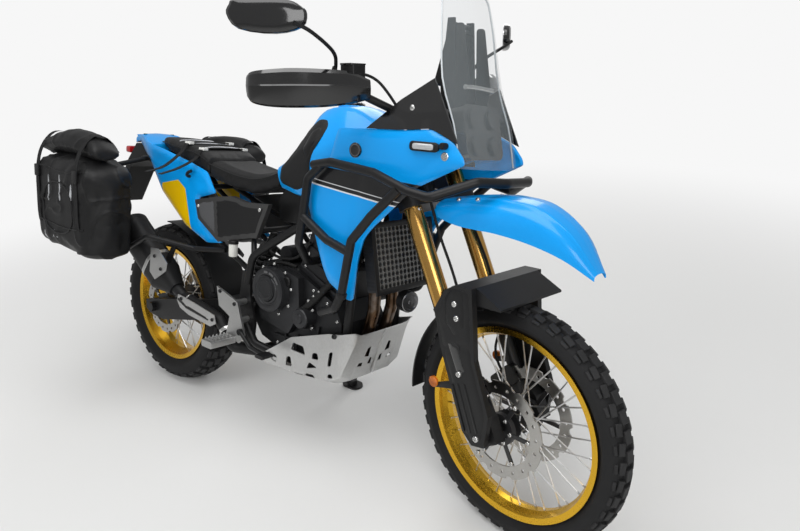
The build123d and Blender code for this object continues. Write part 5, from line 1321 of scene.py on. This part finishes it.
GUARD = ((1425, 665), (1462, 728), (1500, 750), (1556, 752), (1566, 660), (1575, 560), (1632, 420), (1622, 326),
         (1580, 316), (1545, 345), (1505, 440), (1455, 560))
GUARD_PLATE = ((1464, 700), (1484, 738), (1532, 742), (1540, 640), (1506, 606), (1470, 640))
GUARD_FACET = ((1478, 590), (1520, 590), (1548, 520), (1520, 500))
GUARD_RIBS = (((1500, 470), (1508, 470), (1556, 350), (1548, 350)),
              ((1520, 478), (1528, 478), (1580, 352), (1572, 352)),
              ((1542, 486), (1550, 486), (1602, 360), (1594, 360)))
REFLECTOR_ARM = ((1418, 440), (1504, 476), (1510, 452), (1424, 428))
FORK_AHEAD, FORK_SIDE, GUARD_SIDE = 34, 103, 143
for side, tag in SIDES:
    spots = [((x, side * half * 0.60, z), (0, side * 0.35, 0.94)) for x, half, z in ((1412, 82, 952), (1480, 84, 962))]
    steered_bolts(f"fender_screws_{tag[0]}", spots, 7)
    steered_panel(f"fork_guard_{tag}", rounded_outline(GUARD, 18), upright_side(side, GUARD_SIDE), moulded_black,
                  dome=7, lip=20, thick=5, pitch=12, slot="black_plastic",
                  creases=[(half_plane((1462, 560), (1575, 600)), -3, 8)])
    steered_panel(f"guard_plate_{tag}", rounded_outline(GUARD_PLATE, 7), upright_side(side, GUARD_SIDE + 6.2),
                  moulded_black, dome=3.0, lip=5, thick=4, pitch=10)
    steered_panel(f"guard_facet_{tag}", rounded_outline(GUARD_FACET, 6), upright_side(side, GUARD_SIDE + 6.4),
                  gloss_black, dome=2.0, lip=6, thick=4, pitch=10)
    for i, rib in enumerate(GUARD_RIBS):
        steered(f"guard_rib_{tag}_{i}", *prism(rib, side * 148, side * 151.6), moulded_black, bevel=1.2)
    steered(f"reflector_arm_{tag}", *prism(REFLECTOR_ARM, side * 134, side * 138), moulded_black, bevel=0.8)
    steered(f"guard_reflector_{tag}", *prism(arc_slot(1424, 446, 0.01, 32, 0, 360, 20), side * 136, side * 143), amber,
            bevel=1.0)
    steered_bolts(f"guard_screws_{tag}",
                  facing_out(side * 152.2, ((1503, 700), (1512, 662), (1528, 508), (1598, 345))), 9)
    pinch = [(steer_point(along, 12, side * 122), (0, side, 0)) for along in (316, 350)]
    clamp = [(steer_point(along, 59, side * FORK_SIDE), (0.891, 0, 0.454)) for along in (1002, 1018, 1168)]
    steered_bolts(f"fork_bolts_{tag}", pinch + clamp, 7)
    for name, low, high, radius, sides, material in (
            (f"fork_cap_{tag}", 1204, 1211, 22, 24, azure),
            (f"fork_seal_{tag}700", 700, 709, 29.5, 28, casting_black),
            (f"fork_seal_{tag}716", 716, 725, 29.5, 28, casting_black)):
        ends = [steer_point(along, FORK_AHEAD, side * FORK_SIDE) for along in (low, high)]
        steered(name, *tube(ends, radius, sides, 1), material, bevel=1.5)
    steered_bolts(f"caliper_bolts_{tag}", facing_out(side * 81.5, ((1500, 408), (1536, 444))), 8)


# Handlebar: black tapered bar with ribbed rubber grips, switch housings, levers, and deep gloss
# shields over the knuckles. The mirrors are domed shells on bent stalks with rubber boots.
rubber = finish("grip_rubber", (0.0099, 0.0099, 0.0099), 0.75, vary=0.2, grain=900, bump=0.5)
button_red = finish("stop_button_red", (0.55, 0.01, 0.01), 0.35, vary=0.05, grain=300, bump=0.05)
mirror_glass = finish("mirror_glass", (0.75, 0.76, 0.78), 0.03, metal=1.0, vary=0.02, grain=30, bump=0.0)
dress(satin_black, "handlebar", "hand_controls", "foot_controls")
RIBS = [(0.3, 6)]
for i in range(17):
    base = 10 + 6.6 * i
    RIBS += [(16.6, base), (17.8, base + 1), (17.8, base + 4.6), (16.6, base + 5.6)]
RIBS += [(20, 124), (20, 129), (0.3, 129)]
# share of the way out, x, y, low and high edge, and depth of the bow
SHIELD = ((0.00, 1226, -206, 1212, 1262, 10), (0.12, 1212, -262, 1200, 1282, 16), (0.3, 1188, -330, 1192, 1287, 20),
          (0.5, 1148, -402, 1190, 1288, 20), (0.7, 1098, -446, 1192, 1284, 18), (0.88, 1058, -468, 1200, 1278, 14),
          (1.0, 1036, -470, 1214, 1268, 8))
HEAD = ((-98, 6), (-90, 28), (-80, 38), (-20, 42), (50, 42), (82, 28), (96, 10), (84, -22), (20, -38), (-70, -28))
HEAD_MIDDLE = Vector((1146, -466, 1404))
# distance behind the glass and share of the outline
SHELL = ((-23, 0.97), (-24, 1.0), (-14, 1.0), (-6, 0.93), (-1, 0.74), (0, 0.4))


def shield_ring(row, side):
    """Upright section of the hand shield: a bowed face with a hard crease at two thirds of its height."""
    _, x, y, low, high, deep = row
    out = Vector((0.62, -0.78, 0)) if y < -420 else Vector((0.86, -0.5, 0))
    spots = [Vector((x, y, low + (high - low) * t)) + out * (deep * d - 12) for t, d in (
        (0.0, 0.0), (0.06, 0.5), (0.3, 0.95), (0.56, 1.2), (0.6, 1.06), (0.9, 0.55), (1.0, 0.0))]
    return [(p.x, side * -p.y, p.z) for p in spots]


def mirror_ring(side, back, scale):
    """Outline of the mirror head at a distance behind its glass, drawn in by a factor."""
    ring = []
    for u, v in HEAD:
        p = HEAD_MIDDLE + Vector((0.64, 0.77, 0)) * u * scale + Vector((0.77, -0.64, 0)) * back
        ring.append((p.x, -side * p.y, p.z + v * scale))
    return curved(ring, 3, True)


for side, tag in SIDES:
    end = Vector((1050, side * 430, 1236))
    run = (Vector((1150, side * 240, 1246)) - end).normalized()
    at_end = at(end, run, STEERED)
    build(f"grip_{tag}", *lathe(RIBS, 28), rubber, "steering", at_end, sharp=25)
    build(f"bar_end_{tag}", *lathe(((0.3, -6), (15, -6), (16, -2), (16, 9), (0.3, 9)), 24), satin_black, "steering",
          at_end)
    steered(f"switch_box_{tag}", *tube([end + run * 134, end + run * 168], 21.5, 8, 1), moulded_black, bevel=4)
    steered(f"hand_shield_{tag}", *skin([shield_ring(row, side) for row in smooth_rows(SHIELD, 5)], closed=False),
            gloss_black, slot="gloss_black", thick=3.5, sharp=15, replaces="handguards" if side < 0 else None)
    steered(f"mirror_shell_{tag}", *skin([mirror_ring(side, *row) for row in SHELL]), gloss_black,
            slot="black_plastic", sharp=32, replaces="mirrors" if side < 0 else None)
    steered(f"mirror_glass_{tag}", *skin([mirror_ring(side, back, 0.9) for back in (-23.5, -25)]), mirror_glass)
    for name, material, radius, sides, steps, line in (
            ("shield_brace_", satin_black, 7, 12, 2, ((1036, 462, 1236), (1046, 446, 1236), (1050, 432, 1236))),
            ("shield_clamp_", satin_black, 7.5, 12, 3, ((1150, 240, 1246), (1180, 226, 1240), (1208, 216, 1238))),
            ("mirror_stalk_", satin_black, 5, 12, 5, ((1143, 270, 1256), (1160, 271, 1300), (1180, 296, 1332),
                                                      (1196, 370, 1372), (1190, 418, 1392))),
            ("mirror_boot_", rubber, (11, 9.5, 6.5), 16, 4, ((1143, 270, 1254), (1148, 270, 1272), (1156, 271, 1294)))):
        steered(name + tag, *tube([(x, side * y, z) for x, y, z in line], radius, sides, steps), material)
build("stop_button", *lathe(((0.3, 0), (8, 0), (8, 6), (6.5, 8), (0.3, 8)), 20), button_red, "steering",
      at((1131, -274, 1264), base=STEERED))
lid = rounded_outline(((1154, -204), (1206, -204), (1206, -256), (1154, -256)), 6)
steered("brake_box_lid", *prism(lid, 1299, 1304, "z"), gloss_black, bevel=1.5)


# Brake hoses: braided lines in black rubber sleeves, from the brake box and from the branch under
# the steering head down to the calipers, each in a gentle curve behind its fork leg.
HOSES = (
    ("right", 0.957, ((1180, -208, 1278), (1184, -162, 1275), (1216, -126, 1220), (1256, -98, 1141), (1286, -84, 1044),
                      (1327, -76, 947), (1371, -80, 852), (1420, -74, 759), (1459, -72, 666), (1489, -70, 581),
                      (1462, -69, 484), (1499, -69, 445))),
    ("left", 0.528, ((1317, 60, 922), (1346, 68, 886), (1378, 80, 815), (1423, 74, 752), (1459, 72, 666),
                     (1489, 70, 581), (1462, 69, 484), (1499, 69, 445))))
for side, length, route in HOSES:
    line = bpy.data.curves.new(f"hose_{side}", "CURVE")
    line.dimensions = "3D"
    spline = line.splines.new("NURBS")
    spline.points.add(len(route) - 1)
    for spot, corner in zip(spline.points, route):
        spot.co = (*(STEERED @ Vector(corner)), 1)
    spline.order_u = 3
    spline.use_endpoint_u = True
    line.bevel_depth = 0.004
    line.bevel_resolution = 3
    line.use_fill_caps = True
    line.materials.append(rubber)
    hose = shown(f"hose_{side}", line)
    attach(hose, "steering")
    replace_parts(hose, f"brake_hose_{side}")


# Cockpit: a tall clear screen on a dark tower, with a painted highlight along its edge as light grey rims,
# a lamp of four round bowls behind it, and the dash on the rider's side.
clear = finish("clear_screen", (0.45, 0.5, 0.52), 0.04, vary=0.01, grain=10, bump=0.0, Alpha=0.13)
# painted highlight: the screen's edge rims are light grey under a clear coat, standing in for light caught along the
# sheet's edge
painted_edge_highlight = finish("screen_edge_painted_highlight", (0.62, 0.66, 0.68), 0.15, vary=0.05, grain=100, bump=0.0, coat=0.6)
SCREEN = ((1034, 1436, 145.8, 1496), (1092, 1422, 145.6, 1484), (1150, 1405, 146, 1468), (1260, 1360, 146, 1424),
          (1400, 1335, 132, 1386), (1475, 1320, 119, 1362), (1496, 1315, 108, 1355), (1507, 1313, 92, 1351))


def screen_ring(z, edge, half, nose):
    """Bowed section of the screen at a height, from one edge round its nose to the other."""
    deep = nose - edge
    right = [(edge, half), (edge + deep * 0.52, half * 0.72), (nose - deep * 0.06, half * 0.3)]
    spots = right + [(nose - 2.5, 0)] + [(x, -y) for x, y in reversed(right)]
    return [(p.x, p.y, z) for p in curved([(x, y, 0) for x, y in spots], 4)]


build("screen_sheet", *skin([screen_ring(*row) for row in smooth_rows(SCREEN, 3)], closed=False), clear, thick=4,
      slot="clear_screen", sharp=40, replaces="screen")
# thin rims along the screen's side and top edges, coloured as a painted highlight
rims = [(f"screen_rim_{tag[0]}", [(edge, side * (half - 1), z) for z, edge, half, _ in SCREEN], 3)
        for side, tag in SIDES]
rims.append(("screen_rim_top", [(x - 2, y, z) for x, y, z in screen_ring(*SCREEN[-1])[::3]], 2))
for name, rim, steps in rims:
    build(name, *tube(rim, 2.4, 8, steps), painted_edge_highlight)
lamp_glass = finish("lamp_glass", (0.35, 0.37, 0.38), 0.05, vary=0.05, grain=60, bump=0.02, coat=1.0,
                    Transmission_Weight=0.6)
chrome = finish("reflector_chrome", (0.8, 0.8, 0.81), 0.08, metal=1.0, vary=0.04, grain=60, bump=0.02)
display = finish("dash_glass", (0.0054, 0.0059, 0.0067), 0.08, vary=0.1, grain=60, bump=0.0, coat=1.0)
dress(gloss_black, "headlight")
dress(moulded_black, "dash")


def face_plane(middle, way):
    """Place of a flat face that looks in a direction, with its own across and up."""
    place = at(middle, way)
    across = (place.to_3x3().inverted() @ (PARKED.to_3x3() @ Vector((0, 1, 0)))).normalized()
    up = Vector((0, 0, 1)).cross(across).normalized()
    return place, across, up if (place.to_3x3() @ up).z > 0 else -up


LAMP, across, up = face_plane((1412, 0, 1128), (0.97, 0, 0.24))
for i, (y, z) in enumerate(((-48, -36), (48, -36), (-48, 36), (48, 36))):
    spot = LAMP @ Matrix.Translation(across * y + up * z)
    build(f"lamp_bowl_{i}", *lathe(((0.3, -22), (10, -20), (18, -12), (24, -1), (26.5, 0.5), (26.5, 2), (25, 2.5),
                                         (23, 0), (16, -13), (9, -21.5), (0.3, -23)), 32), chrome, place=spot)
    build(f"lamp_lens_{i}", *lathe(((0.3, -9), (9, -10), (13, -13), (13, -16), (0.3, -16)), 24), lamp_glass,
          place=spot)
build("tower_cross_bar", *tube([(1384, -70, 1244), (1386, 0, 1246), (1384, 70, 1244)], 7, 16, 4), bright_steel)
PLATE = ((1330, 1060), (1372, 1060), (1388, 1250), (1352, 1410), (1326, 1410), (1342, 1250))
for side, tag in SIDES:
    build(f"tower_plate_{tag[0]}", *prism(rounded_outline(PLATE, 10), side * 50.5, side * 54), moulded_black, bevel=0.8)
DASH, across, up = face_plane((1302, 0, 1318), (-0.97, 0, 0.24))
corners = [across * y + up * z for y, z in rounded_outline(((-37, -68), (37, -68), (37, 68), (-37, 68)), 8)]
build("dash_display", *skin([[c + Vector((0, 0, h)) for c in corners] for h in (23.5, 25.2)]), display, place=DASH,
      bevel=0.5)


# Rear end: a bare black plate holder, red tail lamp, amber winkers on rubber stalks, coil spring
# with its damper, toothed footrests, white fluid bottle and the drive chain's links.
def lamp_box(name, x, y, z, half, tall, material, replaces=None):
    """A lamp that looks backwards, and its outline."""
    outline = rounded_outline(((y - half, z - tall), (y + half, z - tall), (y + half, z + tall), (y - half, z + tall)),
                              10, 4)
    build(name, *prism(outline, x, x - 32, "x"), material, slot="lamp_lens", bevel=3.0, replaces=replaces)
    return outline


lamp_box("tail_lamp", -332, 0, 951, 45, 14.5, red_lens, "signal_lamps")
for side, tag in SIDES:
    y, name = side * 146, f"stalk_lamp_{tag}"
    outline = lamp_box(name, -312, y, 860, 30, 15, amber)
    shell = [(y + (u - y) * 1.06, 860 + (v - 860) * 1.1) for u, v in outline]
    build(name + "_shell", *prism(shell, -309, -332, "x"), moulded_black, bevel=2.0)
    build(name + "_stalk", *tube([(-330, side * 60, 860), (-330, side * 118, 860)], 6, 12, 1), rubber)
spring_steel = finish("spring_grey", (0.0300, 0.0300, 0.0312), 0.35, metal=0.4, vary=0.1, grain=300, bump=0.1)
SHOCK_FOOT, SHOCK_TOP = Vector((420.5, 0, 456.2)), Vector((585, 0, 735))
COIL_TURNS, COIL_STEPS, COIL_R = 7, 18, 28
run = (SHOCK_TOP - SHOCK_FOOT).normalized()
across = Vector((0, 1, 0))
other = run.cross(across)
coil = []
for i in range(COIL_TURNS * COIL_STEPS + 1):
    a = 2 * math.pi * i / COIL_STEPS
    rise = 40 + 178 * i / (COIL_TURNS * COIL_STEPS)
    coil.append(SHOCK_FOOT + run * rise + (across * math.cos(a) + other * math.sin(a)) * COIL_R)
build("shock_spring", *tube(coil, 5.2, 8, 1), spring_steel, replaces="rear_shock")
for name, low, high, radius, material in (
        ("shock_rod", 0, 120, 9, bright_steel), ("shock_body", 110, 250, 20, casting_black),
        ("shock_collar", 222, 240, 33, casting_black), ("shock_seat", 30, 40, 33, casting_black),
        ("shock_eye", 4, 30, 15, casting_black), ("shock_head", 250, 306, 17, casting_black)):
    bars((name, SHOCK_FOOT + run * low, SHOCK_FOOT + run * high, radius, 24, material, 1.0))
rest_alloy = finish("rest_alloy", (0.46, 0.46, 0.455), 0.42, metal=1.0, vary=0.15, grain=200, bump=0.15)
dress(rest_alloy, "footrests")
TOOTH = ((555, 373), (609, 373), (605, 380), (597, 375), (589, 380), (581, 375), (573, 380), (565, 375), (559, 380))
for side, tag in SIDES:
    for i in range(6):
        y = side * (208 + 15 * i)
        build(f"rest_tooth_{tag}_{i}", *prism(TOOTH, y, y + side * 3), rest_alloy)
    bolts(f"rest_bolts_{tag}", facing_out(side * 198.6, ((520, 520), (600, 490), (636, 392))), 7, dark_bolt)
BOTTLE = Vector((528, -150, 641))
bottle = finish("bottle_white", (0.70, 0.70, 0.66), 0.35, vary=0.08, grain=200, bump=0.05, coat=0.2)
build("fluid_bottle", *lathe(((0.3, 0), (14, 0), (16, 3), (16, 46), (0.3, 46)), 28), bottle,
      place=at(BOTTLE), replaces="brake_reservoir")
build("bottle_cap", *lathe(((0.3, -2), (17.5, -2), (18, 0), (18, 8), (16, 10), (0.3, 10)), 28), moulded_black,
      place=at(BOTTLE + Vector((0, 0, 47))))
build("bottle_bracket", *prism(((520, 655), (560, 640), (566, 652), (536, 672)), -131, -135), satin_black, bevel=0.8)
chain_steel = finish("chain_steel", (0.16, 0.14, 0.11), 0.4, metal=1.0, vary=0.3, grain=250, bump=0.2)
PITCH = 15.875
REAR_TEETH, FRONT_TEETH = 46, 15
DRIVE = Vector((650, 0, 450))
big_r, small_r = REAR_TEETH * PITCH / 2 / math.pi, FRONT_TEETH * PITCH / 2 / math.pi
span = DRIVE - REAR_AXLE
lean = math.atan2(span.z, span.x)
flare = math.acos((big_r - small_r) / span.length)
ARC_STEPS = 60
loop = []
for middle, r, start, end in ((REAR_AXLE, big_r, lean + flare, lean + 2 * math.pi - flare),
                              (DRIVE, small_r, lean - flare, lean + flare)):
    turns = [start + (end - start) * i / ARC_STEPS for i in range(ARC_STEPS + 1)]
    loop += [Vector((middle.x + r * math.cos(a), middle.z + r * math.sin(a))) for a in turns]
lengths = [(b - a).length for a, b in zip(loop, loop[1:] + loop[:1])]
links = 2 * round(sum(lengths) / PITCH / 2)
pitch = sum(lengths) / links


def along_loop(distance):
    """Point of the chain's line at a distance round it."""
    distance %= sum(lengths)
    i = 0
    while distance > lengths[i]:
        distance -= lengths[i]
        i += 1
    return loop[i].lerp(loop[(i + 1) % len(loop)], distance / max(lengths[i], 1e-9))


shapes = []
for n in range(links):
    a, b = along_loop(n * pitch), along_loop((n + 1) * pitch)
    way = (b - a).normalized()
    up = Vector((-way.y, way.x))
    outline = [end + way * sign * 7 * math.cos(t) + up * sign * 7 * math.sin(t) for end, sign in ((b, 1), (a, -1))
               for t in [math.radians(45 * k) for k in range(-2, 3)]]
    for y in ((86, 89), (96, 99)) if n % 2 else ((83.6, 86), (99, 101.4)):
        shapes.append(prism(outline, *y))
    shapes.append(tube([(a.x, 84, a.y), (a.x, 101, a.y)], 5, 8, 1))
build("chain_links", *together(shapes), chain_steel, slot="dark_steel", replaces="chain")

low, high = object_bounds()
